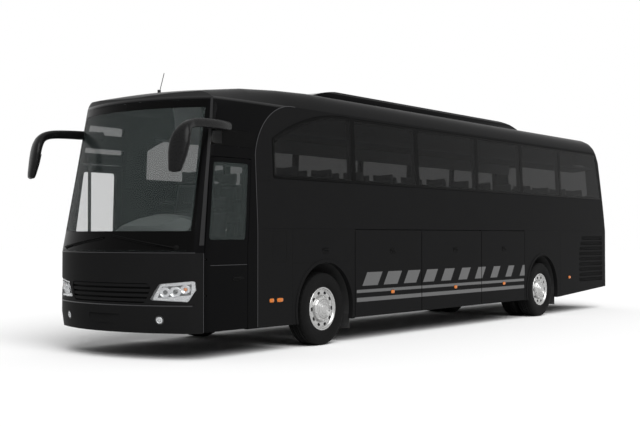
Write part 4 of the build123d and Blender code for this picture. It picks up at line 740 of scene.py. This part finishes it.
# Seams of the fixed side panels, as thin dark gaps through points of station and height
SEAMS = (
    ((4.231, SKIRT_Z), (4.231, 1.6)),
    ((4.231, 1.155), (2.79, 1.155)),
    ((4.645, 1.175), (4.365, 1.175), (4.365, 1.58), (4.645, 1.58), (4.645, 1.175)),
    ((4.645, 1.385), (4.365, 1.385)),
    ((-4.205, SKIRT_Z), (-4.205, 1.6)),
    ((4.945, 2.235), (4.625, 2.235)),
)
seams = Form()
for points in SEAMS:
    for side in SIDES:
        line(seams, points, side_point(side), 0.007, 0.0008)
seams.made("panel_gaps", "body", "gloss_black", [GAP])

# Thin slats between the louvres of the rear quarters, cut short along a slant at the top
LOUVRE_REAR_X, LOUVRE_FRONT_X = -6.272, -5.118
LOUVRE_Z, LOUVRE_PITCH, SLANT_Z = 0.6, 0.105, 1.2
SLAT = ((-0.016, -0.003), (0.009, -0.007), (0.009, 0.001), (-0.016, 0.005))
slats = Form()
for side in SIDES:
    for row in range(9):
        z = LOUVRE_Z + LOUVRE_PITCH * row
        front_x = LOUVRE_FRONT_X - 0.5 * max(0.0, z - SLANT_Z)
        for rise in (0.021, 0.042):
            run = np.linspace(LOUVRE_REAR_X, front_x, 5)
            slats.sweep([(x, side * (HALF - 0.01), z + rise) for x in run], SLAT)
slats.made("louvre_slats", "body", "body_paint", [GLOSS])

# Black bands between and round the side panes, and across the driver's quarter pane
PANE_JOINTS = (2.784, 1.038, -0.904, -2.592, -4.258)
JOINT_BACK, JOINT_AHEAD = 0.075, 0.02
PANE_LOW, PANE_TOP = 2.277, 3.213
BAND, BAND_OUT = 0.034, 0.0009
PANE_ARC = ((4.592, 2.792), (3.899, 3.075), (2.784, 3.198))
bands = Form()
for side in SIDES:
    surface = side_point(side)
    for x in PANE_JOINTS:
        low, top = [((x - JOINT_BACK, z), (x + JOINT_AHEAD, z)) for z in (PANE_LOW, PANE_TOP)]
        bands.plate(low, top, surface, 0.0008, STRIP_BACK, 0, 2, 12)
    line(bands, arc_points(*PANE_ARC, 25), surface, BAND, BAND_OUT)
    line(bands, [PANE_ARC[-1], (-6.05, 3.198)], surface, BAND, BAND_OUT)
    line(bands, [(4.592, 2.292), (-6.24, 2.292)], surface, BAND, BAND_OUT)
    line(bands, [(4.588, PANE_LOW), (4.588, 2.8)], surface, 0.022, BAND_OUT)
bands.plate(((4.985, 2.642), (5.585, 2.642)), ((4.967, 2.848), (5.565, 2.848)), module_point(1),
            0.001, STRIP_BACK, 0, 16, 3)
bands.made("window_bands", "body", "gloss_black", [FRIT])

# Painted highlights on the edges of the front module, which sweep up into the roof, and of the front corners
MODULE_ARC = ((MODULE_X, 2.56), (4.73, 3.015), (4.085, 3.255))
CORNER_EDGE_X, CORNER_EDGE_Y = 5.952, 1.2615
edge_highlights = Form()
for side in SIDES:
    path = [*[(MODULE_X, z) for z in (SKIRT_Z, 1.0, 1.8)], *arc_points(*MODULE_ARC, 28)]
    line(edge_highlights, path, side_point(side), 0.009, 0.0022)
    corner = [(CORNER_EDGE_X, z) for z in (SKIRT_Z, 0.7, 1.305)]
    line(edge_highlights, corner, upright_point(side, CORNER_EDGE_Y), 0.008, 0.0015)
edge_highlights.made("module_edges", "body", "body_paint", [EDGE])

# Lines on the front: painted highlights on its edges and pillars, and the bumper's gap
FRONT_STEPS = 97
BUMPER_EDGE_Z, BUMPER_GAP_Z = 0.669, 0.685
PILLAR_SHEEN_LINE = ((1.2445, 1.4), (1.2237, 1.9), (1.194, 2.5), (1.1628, 3.0), (1.141, 3.25))
front_edges = Form()
# Highlights painted on the edges below the windscreen and above the bumper
for half, z, wide in ((1.21, 1.3105, 0.007), (1.19, BUMPER_EDGE_Z, 0.012)):
    line(front_edges, [(y, z) for y in np.linspace(-half, half, FRONT_STEPS)], front_point, wide, 0.0015)
for side in SIDES:
    # A broad strip down each pillar: a painted highlight on its rounded corner
    line(front_edges, PILLAR_SHEEN_LINE, mirrored(front_point, side), 0.026, 0.0012, 1)
front_edges.made("front_seam_edge", "body", "body_paint", [EDGE, PILLAR_SHEEN])
front_gaps = Form()
gap = [(y, BUMPER_GAP_Z) for y in np.linspace(-1.21, 1.21, FRONT_STEPS)]
line(front_gaps, gap, front_point, 0.008, 0.001)
front_gaps.made("bumper_gap", "body", "gloss_black", [GAP])

# Grey slanted bars and lines on the luggage flaps: flap, side, front and rear limit
FLAPS = (
    ("left_flap_front", 1, 2.77, 0.964), ("left_flap_middle", 1, 0.944, -0.993),
    ("left_flap_rear", 1, -1.013, -2.645), ("right_flap_front", -1, 2.77, 0.964),
    ("right_flap_middle", -1, 0.944, -1.585),
)
BARS = tuple((2.6 - 0.56 * k, 0.4 - 0.022 * k) for k in range(10))
BAR_LOW, BAR_TOP, BAR_SLANT = 0.79, 0.985, 0.13
LINES = ((0.69, 0.735), (0.56, 0.62))
LINE_FRONT_X, LINE_REAR_X = 2.74, -2.62
STRIPES = [
    [(x, BAR_LOW), (x - wide, BAR_LOW), (x - wide - BAR_SLANT, BAR_TOP), (x - BAR_SLANT, BAR_TOP)]
    for x, wide in BARS
] + [
    [(LINE_FRONT_X, low), (LINE_REAR_X, low), (LINE_REAR_X, top), (LINE_FRONT_X, top)]
    for low, top in LINES
]


def clipped(polygon, low, high):
    """A polygon cut to the stations between two limits."""
    for limit, keep in ((low, 1), (high, -1)):
        kept = []
        for p, q in zip(polygon, polygon[1:] + polygon[:1]):
            inside_p, inside_q = keep * (p[0] - limit) >= 0, keep * (q[0] - limit) >= 0
            if inside_p:
                kept.append(p)
            if inside_p != inside_q:
                t = (limit - p[0]) / (q[0] - p[0])
                kept.append((limit, p[1] + t * (q[1] - p[1])))
        polygon = kept
        if not polygon:
            return []
    return polygon


for name, side, front_x, rear_x in FLAPS:
    form = Form()
    surface = upright_point(side, HALF)
    for stripe in STRIPES:
        shape = clipped(stripe, rear_x, front_x)
        if len(shape) > 2:
            face = [surface(x, z, 0.0008) for x, z in shape]
            back = [surface(x, z, -0.0005) for x, z in shape]
            form.cap(face)
            form.grid([face, back], ring=True)
            form.cap(back)
    form.made(f"stripes_{name}", name, "body_paint", [STRIPE])

# Mirrors: horn-shaped arms that widen into heads turned in, with the glass behind
HORN = (  # place, turn inwards in degrees, half width and half depth
    ((5.395, 1.17, 2.893), 4, 0.046, 0.06), ((5.56, 1.236, 2.893), 6, 0.046, 0.06),
    ((5.95, 1.292, 2.888), 8, 0.044, 0.057), ((6.2, 1.312, 2.868), 12, 0.05, 0.055),
    ((6.33, 1.318, 2.815), 16, 0.078, 0.055), ((6.395, 1.318, 2.72), 20, 0.118, 0.055),
    ((6.43, 1.315, 2.6), 20, 0.13, 0.053), ((6.462, 1.312, 2.45), 20, 0.12, 0.05),
    ((6.5, 1.312, 2.29), 20, 0.092, 0.042), ((6.505, 1.312, 2.268), 20, 0.072, 0.028),
    ((6.506, 1.312, 2.262), 20, 0.02, 0.006),
)
GLASS_FROM, GLASS_TO = 0.6, 0.93
ROUND_FRONT, FLAT_BACK = 0.85, 0.55
mirrors = Form()
spine = curve([place for place, _, _, _ in HORN], 8)
shares = np.linspace(0, 1, len(HORN))
for side in SIDES:
    rows, glass = [], []
    for i, p in enumerate(spine):
        share = i / (len(spine) - 1)
        toe, wide, deep = [np.interp(share, shares, [h[k] for h in HORN]) for k in (1, 2, 3)]
        ahead = (spine[min(i + 1, len(spine) - 1)] - spine[max(i - 1, 0)]).normalized()
        across = Vector((-sin(radians(toe)), cos(radians(toe)), 0))
        front = ahead.cross(across).normalized()
        row = []
        for t in turns(32):
            power = ROUND_FRONT if sin(t) >= 0 else FLAT_BACK
            q = p + across * wide * bent(cos(t), power) + front * deep * bent(sin(t), power)
            row.append((q.x, side * q.y, q.z))
        rows.append(row)
        if GLASS_FROM < share < GLASS_TO:
            behind = front * (deep * 0.985 + 0.002)
            pane = [p + across * wide * 0.8 * u - behind for u in np.linspace(-1, 1, 9)]
            glass.append([(q.x, side * q.y, q.z) for q in pane])
    mirrors.grid(rows, 0, ring=True)
    mirrors.cap(rows[0][::-1])
    mirrors.cap(rows[-1])
    mirrors.grid(glass, 1)
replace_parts(mirrors.made("mirror_heads", "body", "gloss_black", [SHELL, GLASS_MIRROR]), "mirrors")

# Black frit round the windscreen
FRIT_LOW_Z, FRIT_TOP_Z = 1.575, 3.112
FRIT_OUT, FRIT_SIDE, FRIT_NARROWING = 0.0008, 0.04, 0.015
SCREEN_Z = start_of("windscreen", Z)
SCREEN_HIGH = end_of("windscreen", Z) - SCREEN_Z
SCREEN_HALF, SCREEN_TAPER = 1.195, 0.09


def screen_half(z):
    """Half width of the windscreen at a height."""
    return SCREEN_HALF - SCREEN_TAPER * (z - SCREEN_Z) / SCREEN_HIGH


frit = Form()
for low, top, rise in ((1.336, FRIT_LOW_Z, 4), (FRIT_TOP_Z, 3.203, 3)):
    lower, upper = [[(way * screen_half(z), z) for way in (-1, 1)] for z in (low, top)]
    frit.plate(lower, upper, front_point, FRIT_OUT, STRIP_BACK, 0, 160, rise)
for side in SIDES:
    heights = np.linspace(FRIT_LOW_Z, FRIT_TOP_Z, 12)
    outer = [(side * screen_half(z), z) for z in heights]
    inner = [(side * (screen_half(z) - FRIT_SIDE + FRIT_NARROWING * (z - FRIT_LOW_Z)), z) for z in heights]
    frit.plate(inner, outer, front_point, FRIT_OUT, STRIP_BACK, 0, 12, 2)
frit.made("windscreen_frit", "body", "gloss_black", [FRIT])

# Seals behind the flaps' upper gaps, and on the tops of the doors
FLAP_SEAL = ((-0.003, -0.04), (0.003, -0.04), (0.003, 0.045), (0.0, 0.048), (-0.003, 0.045))
DOOR_SEAL = ((-0.014, -0.0042), (0.014, -0.0042), (0.01, 0.003), (0.0, 0.0044), (-0.01, 0.003))
DOOR_TOPS = (
    ("driver_door", 1, 5.052, 5.772), ("front_door", -1, 5.026, 5.772), ("mid_door", -1, -2.548, -1.662),
)
FLAP_SEAL_Z, FLAP_SEAL_IN = 1.59, 0.071
seals = Form()
for side, front_x, rear_x in ((1, 2.775, -2.65), (-1, 2.775, -1.59)):
    seals.sweep([(x, side * (HALF - FLAP_SEAL_IN), FLAP_SEAL_Z) for x in (front_x, rear_x)], FLAP_SEAL)
seals.made("flap_seals", "body", "gloss_black", [SEAL])
for name, side, rear_x, front_x in DOOR_TOPS:
    bead = Form()
    z = end_of(name, Z) + 0.004
    bead.sweep([module_point(side)(x, z, -0.04) for x in np.linspace(rear_x, front_x, 15)], DOOR_SEAL)
    bead.made(f"{name}_top_seal", name, "gloss_black", [SEAL])

# Wipers: a jointed arm and a blade that follows the glass, from pivot, elbow and tip
WIPERS = (
    ((1.01, 1.372), (0.56, 1.452), (0.13, 1.53)),
    ((-0.93, 1.372), (-0.5, 1.44), (-0.04, 1.505)),
)
BLADE = (
    (-0.007, -0.006), (0.007, -0.006), (0.007, 0.002), (0.0035, 0.008), (-0.0035, 0.008), (-0.007, 0.002),
)
OFF_GLASS = (1, 0, 0.2)
wipers = Form()
for points in WIPERS:
    pivot, _, tip = points
    run = [pivot, *[along(points, s) for s in np.linspace(0.06, 0.94, 18)], tip]
    sizes = [1.35 - 0.75 * t for t in np.linspace(0, 1, len(run))]
    wipers.sweep([front_point(y, z, 0.017) for y, z in run], round_section(0.013, 0.03, 10), OFF_GLASS, sizes)
    blade = [along(points, s) for s in np.linspace(0.26, 1.0, 18)]
    wipers.sweep([front_point(y, z - 0.018, 0.0075) for y, z in blade], BLADE, OFF_GLASS)
    dish(wipers, pivot, 0.032, 0.02, front_point, 0, 0.001)
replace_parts(wipers.made("wiper_arms", "body", "gloss_black", [GAP]), "wipers")

# Driver's door: handle cup with its grip, lock and the line below the glass, a painted highlight
DOOR_CUP = ((1.0, -0.001), (1.0, 0.004), (0.9, 0.0055), (0.84, 0.002), (0.02, 0.001))
CUP_X, CUP_Z, LOCK_X = 5.36, 0.985, 5.245
door = Form()
surface = side_point(1)
layered(door, (CUP_X, CUP_Z), (0.085, 0.03), DOOR_CUP, surface, 0.6, 32)
grip(door, CUP_X, 0.993, 0.07, 0.013, 0.007, round_section(0.014, 0.02), surface, 11)
dish(door, (LOCK_X, CUP_Z), 0.016, 0.005, surface, 0, 0.0008, 20)
line(door, [(5.845, 1.155), (5.165, 1.155)], surface, 0.006, 0.0012, 1)
door.made("driver_door_handle", "driver_door", "gloss_black", [GAP, EDGE])

# Seats: simulated pads on frames with arm rests, in pairs beside the aisle
LEFT_ROWS = [(4.115 - 0.8 * row, 1) for row in range(13)]
RIGHT_ROWS = [(x, -1) for x, _ in LEFT_ROWS
              if x - 0.3 > end_of("mid_door", X) or x + 0.48 < start_of("mid_door", X)]
PAIR_Y, SEAT_STEP = 0.68, 0.222
PAD_HALF, HEAD_HALF = 0.205, 0.172
BLOCK_STEPS = (6, 6, 3)
VOXEL, SWELL, PRESSURE = 0.024, 0.02, 4.0
LAST_FRAME = 20
ARM_REST = ((-0.125, 0.6), (0.02, 0.62), (0.16, 0.615), (0.19, 0.6))
ARM_SECTION = round_section(0.042, 0.036, 10)
LEG_SECTION = round_section(0.035, 0.05, 10)
RAIL_SECTION = round_section(0.05, 0.03, 10)
LEG_X, LEG_Y, LEG_ENDS = (0.02, 0.2), 0.36, (0.335, 0.001)
RAIL_Y, RAIL_Z = 0.43, 0.322
DRIVER_X, DRIVER_Y, DRIVER_Z = 5.125, 0.56, 0.95
DRIVER_RAIL_X, DRIVER_RAIL_Y, DRIVER_RAIL_Z = (5.165, 5.285), 0.16, 1.29
BASE_X, BASE_Z, BASE_HALF, BASE_HIGH, BASE_POWER = 5.225, 1.125, 0.15, 0.172, 0.4


def block(form, low, high, lean):
    """A box of quads whose top may lean back."""
    for axis in range(3):
        u, v = [a for a in range(3) if a != axis]
        across, up = [np.linspace(low[a], high[a], BLOCK_STEPS[a] + 1) for a in (u, v)]
        for end in (low, high):
            rows = np.empty((len(across), len(up), 3))
            rows[..., axis] = end[axis]
            rows[..., u] = across[:, None]
            rows[..., v] = up
            rows[..., X] -= lean * (rows[..., Z] - low[Z])
            form.grid(rows)


def evaluated(piece):
    """An object with its modifiers at work."""
    return piece.evaluated_get(bpy.context.evaluated_depsgraph_get())


def puffed(name, low, high, lean=0.0):
    """A pad blown up by a cloth simulation, as points that moved by SWELL at most, and faces."""
    form = Form()
    block(form, low, high, lean)
    pad = add_object(name, cleaned(name, form))
    modify(pad, "voxels", "REMESH", mode="VOXEL", voxel_size=VOXEL)
    bpy.context.view_layer.update()
    shape = bpy.data.meshes.new_from_object(evaluated(pad))
    pad.modifiers.clear()
    pad.data = shape
    rest = np.array([v.co for v in shape.vertices])
    cloth = pad.modifiers.new("cloth", "CLOTH")
    cloth.settings.quality = 5
    cloth.settings.use_pressure = True
    cloth.settings.uniform_pressure_force = PRESSURE
    cloth.settings.effector_weights.gravity = 0.0
    for number in range(1, LAST_FRAME + 1):
        scene.frame_set(number)
    moved = np.array([v.co for v in evaluated(pad).data.vertices]) - rest
    far = np.linalg.norm(moved, axis=1, keepdims=True)
    rest = rest + moved * np.minimum(1.0, SWELL / np.maximum(far, 1e-9))
    pad.modifiers.clear()
    scene.frame_set(1)
    faces = [tuple(p.vertices) for p in shape.polygons]
    bpy.data.objects.remove(pad)
    return rest, faces


PADS = (
    puffed("cushion", (-0.03, -PAD_HALF, 0.345), (0.425, PAD_HALF, 0.425)),
    puffed("backrest", (-0.115, -PAD_HALF, 0.43), (-0.035, PAD_HALF, 0.89), 0.215),
    puffed("headrest", (-0.236, -HEAD_HALF, 0.908), (-0.166, HEAD_HALF, 1.08), 0.12),
)


def add_seat(form, x, y, z):
    """Cushion, back and headrest of one seat."""
    for points, faces in PADS:
        base = len(form.points)
        form.points += [(x + p[0], y + p[1], z + p[2]) for p in points]
        form.faces += [tuple(base + i for i in f) for f in faces]
        form.finishes += [0] * len(faces)


def add_pair_frame(form, x, middle):
    """Arm rests, legs and cross rails below one pair of seats."""
    for y in (middle - RAIL_Y, middle, middle + RAIL_Y):
        form.sweep([(x + u, y, FLOOR_Z + v) for u, v in ARM_REST], ARM_SECTION)
    for u in LEG_X:
        for y in (middle + LEG_Y, middle - LEG_Y):
            form.sweep([(x + u, y, FLOOR_Z + v) for v in LEG_ENDS], LEG_SECTION, (1, 0, 0))
    for u in reversed(LEG_X):
        form.sweep([(x + u, middle + y, FLOOR_Z + RAIL_Z) for y in (-RAIL_Y, RAIL_Y)], RAIL_SECTION)


frames = Form()
pads = {"seat_pads_left": Form(), "seat_pads_right": Form(), "driver_seat_pads": Form()}
for x, side in LEFT_ROWS + RIGHT_ROWS:
    group = pads["seat_pads_left" if side > 0 else "seat_pads_right"]
    for step in (-1, 1):
        add_seat(group, x, side * PAIR_Y + step * SEAT_STEP, FLOOR_Z)
    add_pair_frame(frames, x, side * PAIR_Y)
add_seat(pads["driver_seat_pads"], DRIVER_X, DRIVER_Y, DRIVER_Z)
for name, form in pads.items():
    pad = form.made(name, "body", "seat_cloth", [CLOTH], 80)
    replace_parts(pad, "seats")

# Rails and rounded base below the driver's seat
for y in (DRIVER_Y - DRIVER_RAIL_Y, DRIVER_Y + DRIVER_RAIL_Y):
    frames.sweep([(x, y, DRIVER_RAIL_Z) for x in DRIVER_RAIL_X], RAIL_SECTION)
base = []
for v in np.linspace(-pi / 2, pi / 2, 11):
    wide, z = BASE_HALF * bent(cos(v), BASE_POWER), BASE_Z + BASE_HIGH * bent(sin(v), BASE_POWER)
    base.append(outline((BASE_X, DRIVER_Y), wide, wide, z, lambda *place: place, 20, BASE_POWER))
frames.grid(base, ring=True)
frames.made("seat_frames", "body", "cabin_trim", [PIPING])

# Closed fronts of the luggage racks, from the lip up to the ceiling: offset and height
RACK_FACE = ((0.748, 2.852), (0.733, 2.985), (0.746, 3.15), (0.79, 3.43))
RACK_BACK = ((0.796, 3.43), (0.7625, 3.15), (0.7345, 2.992), (0.7495, 2.851))
RACK_REAR_X, RACK_FRONT_X = -6.0, 4.41
fronts = Form()
for side in SIDES:
    stations = np.linspace(RACK_REAR_X, RACK_FRONT_X, 14)
    rows = [[(x, side * y, z) for y, z in RACK_FACE + RACK_BACK] for x in stations]
    fronts.grid([row[:4] for row in rows], 1)
    fronts.grid([row[3:] + row[:1] for row in rows])
    fronts.cap(rows[0][::-1])
    fronts.cap(rows[-1])
fronts.made("rack_fronts", "body", "cabin_trim", [TRIM, RACK_FRONT])

# Dash cowl, which rises into the instrument hood: shares of its depth and height
COWL = ((0, 0), (0.02, 0.7), (0.07, 0.93), (0.16, 1), (0.4, 0.97), (0.7, 0.7), (0.97, 0.12), (0.97, 0))
COWL_RIGHT, COWL_LEFT = -0.82, 1.08
COWL_BACK_X, COWL_FRONT_X = 5.8, 6.16
COWL_LOW_Z, COWL_TOP_Z, HOOD_RISE = 1.42, 1.56, 0.215
cowl = Form()
rows = []
for y in np.linspace(COWL_RIGHT, COWL_LEFT, 39):
    hood = 0.5 + 0.5 * tanh((y + 0.1) / 0.16)
    top = COWL_TOP_Z + HOOD_RISE * hood * (1 - 0.22 * ((y - 0.5) / 0.6) ** 2)
    deep = min(COWL_FRONT_X, front_point(y, 1.7, -0.075)[0]) - COWL_BACK_X
    rows.append([(COWL_BACK_X + deep * u, y, COWL_LOW_Z + (top - COWL_LOW_Z) * v) for u, v in COWL])
cowl.grid(rows)
cowl.cap(rows[0])
cowl.cap(rows[-1][::-1])
cowl.grid([[r[0] for r in rows], [r[-1] for r in rows]])
cowl.made("dash_cowl", "body", "cabin_trim", [DASH], 50)

# Floor
FLOOR_HALF = 90
floor_mesh = bpy.data.meshes.new("floor")
corners = [(FLOOR_HALF * u, FLOOR_HALF * v, 0) for u, v in ((-1, -1), (1, -1), (1, 1), (-1, 1))]
floor_mesh.from_pydata(corners, [], [(0, 1, 2, 3)])
floor = add_object("floor", floor_mesh)
pale = finish_of("pale_floor", (0.9, 0.9, 0.9), 0.9, specular=0.0, vary=0.004, grain=0.2)
floor_mesh.materials.append(pale)
floor.location.z = -0.0015

# Light: a sky that brightens upwards, plain white where it is seen, and a wide lamp overhead
world = bpy.data.worlds.new("studio")
scene.world = world
world.use_nodes = True
tree = world.node_tree
tree.nodes.clear()
rays = add_node(tree, "ShaderNodeLightPath").outputs
place = add_node(tree, "ShaderNodeTexCoord").outputs["Generated"]
split = add_node(tree, "ShaderNodeSeparateXYZ", links={"Vector": place})
sky = add_node(tree, "ShaderNodeMapRange", {"From Min": 0.1, "From Max": 0.85, "To Min": 0.1, "To Max": 0.6},
               {"Value": split.outputs["Z"]}, interpolation_type="SMOOTHSTEP")
soft = add_node(tree, "ShaderNodeBackground", {"Color": WHITE}, {"Strength": sky.outputs["Result"]})
white = add_node(tree, "ShaderNodeBackground", {"Color": WHITE, "Strength": 1.0})
seen = rays["Is Camera Ray"]
for kind in ("Is Transmission Ray", "Is Glossy Ray"):
    either = add_node(tree, "ShaderNodeMath", links={0: seen, 1: rays[kind]}, operation="MAXIMUM")
    seen = either.outputs["Value"]
choose = add_node(tree, "ShaderNodeMixShader", links={
    "Fac": seen, 1: soft.outputs["Background"], 2: white.outputs["Background"]})
add_node(tree, "ShaderNodeOutputWorld", links={"Surface": choose.outputs["Shader"]})

sun = bpy.data.lights.new("overhead", "SUN")
sun.energy = 3.1
sun.angle = radians(50)
add_object("overhead", sun).rotation_euler = (radians(-38), radians(27), 0)

# Camera
camera_data = bpy.data.cameras.new("camera")
camera_data.lens = 61.23
camera_data.clip_end = 400.0
camera = add_object("camera", camera_data)
camera.location = (15.64, 10.286, 1.515)
camera.rotation_euler = (radians(91.184), 0.0, radians(126.87))
scene.camera = camera
scene.view_settings.view_transform = "Standard"

bpy.context.view_layer.update()
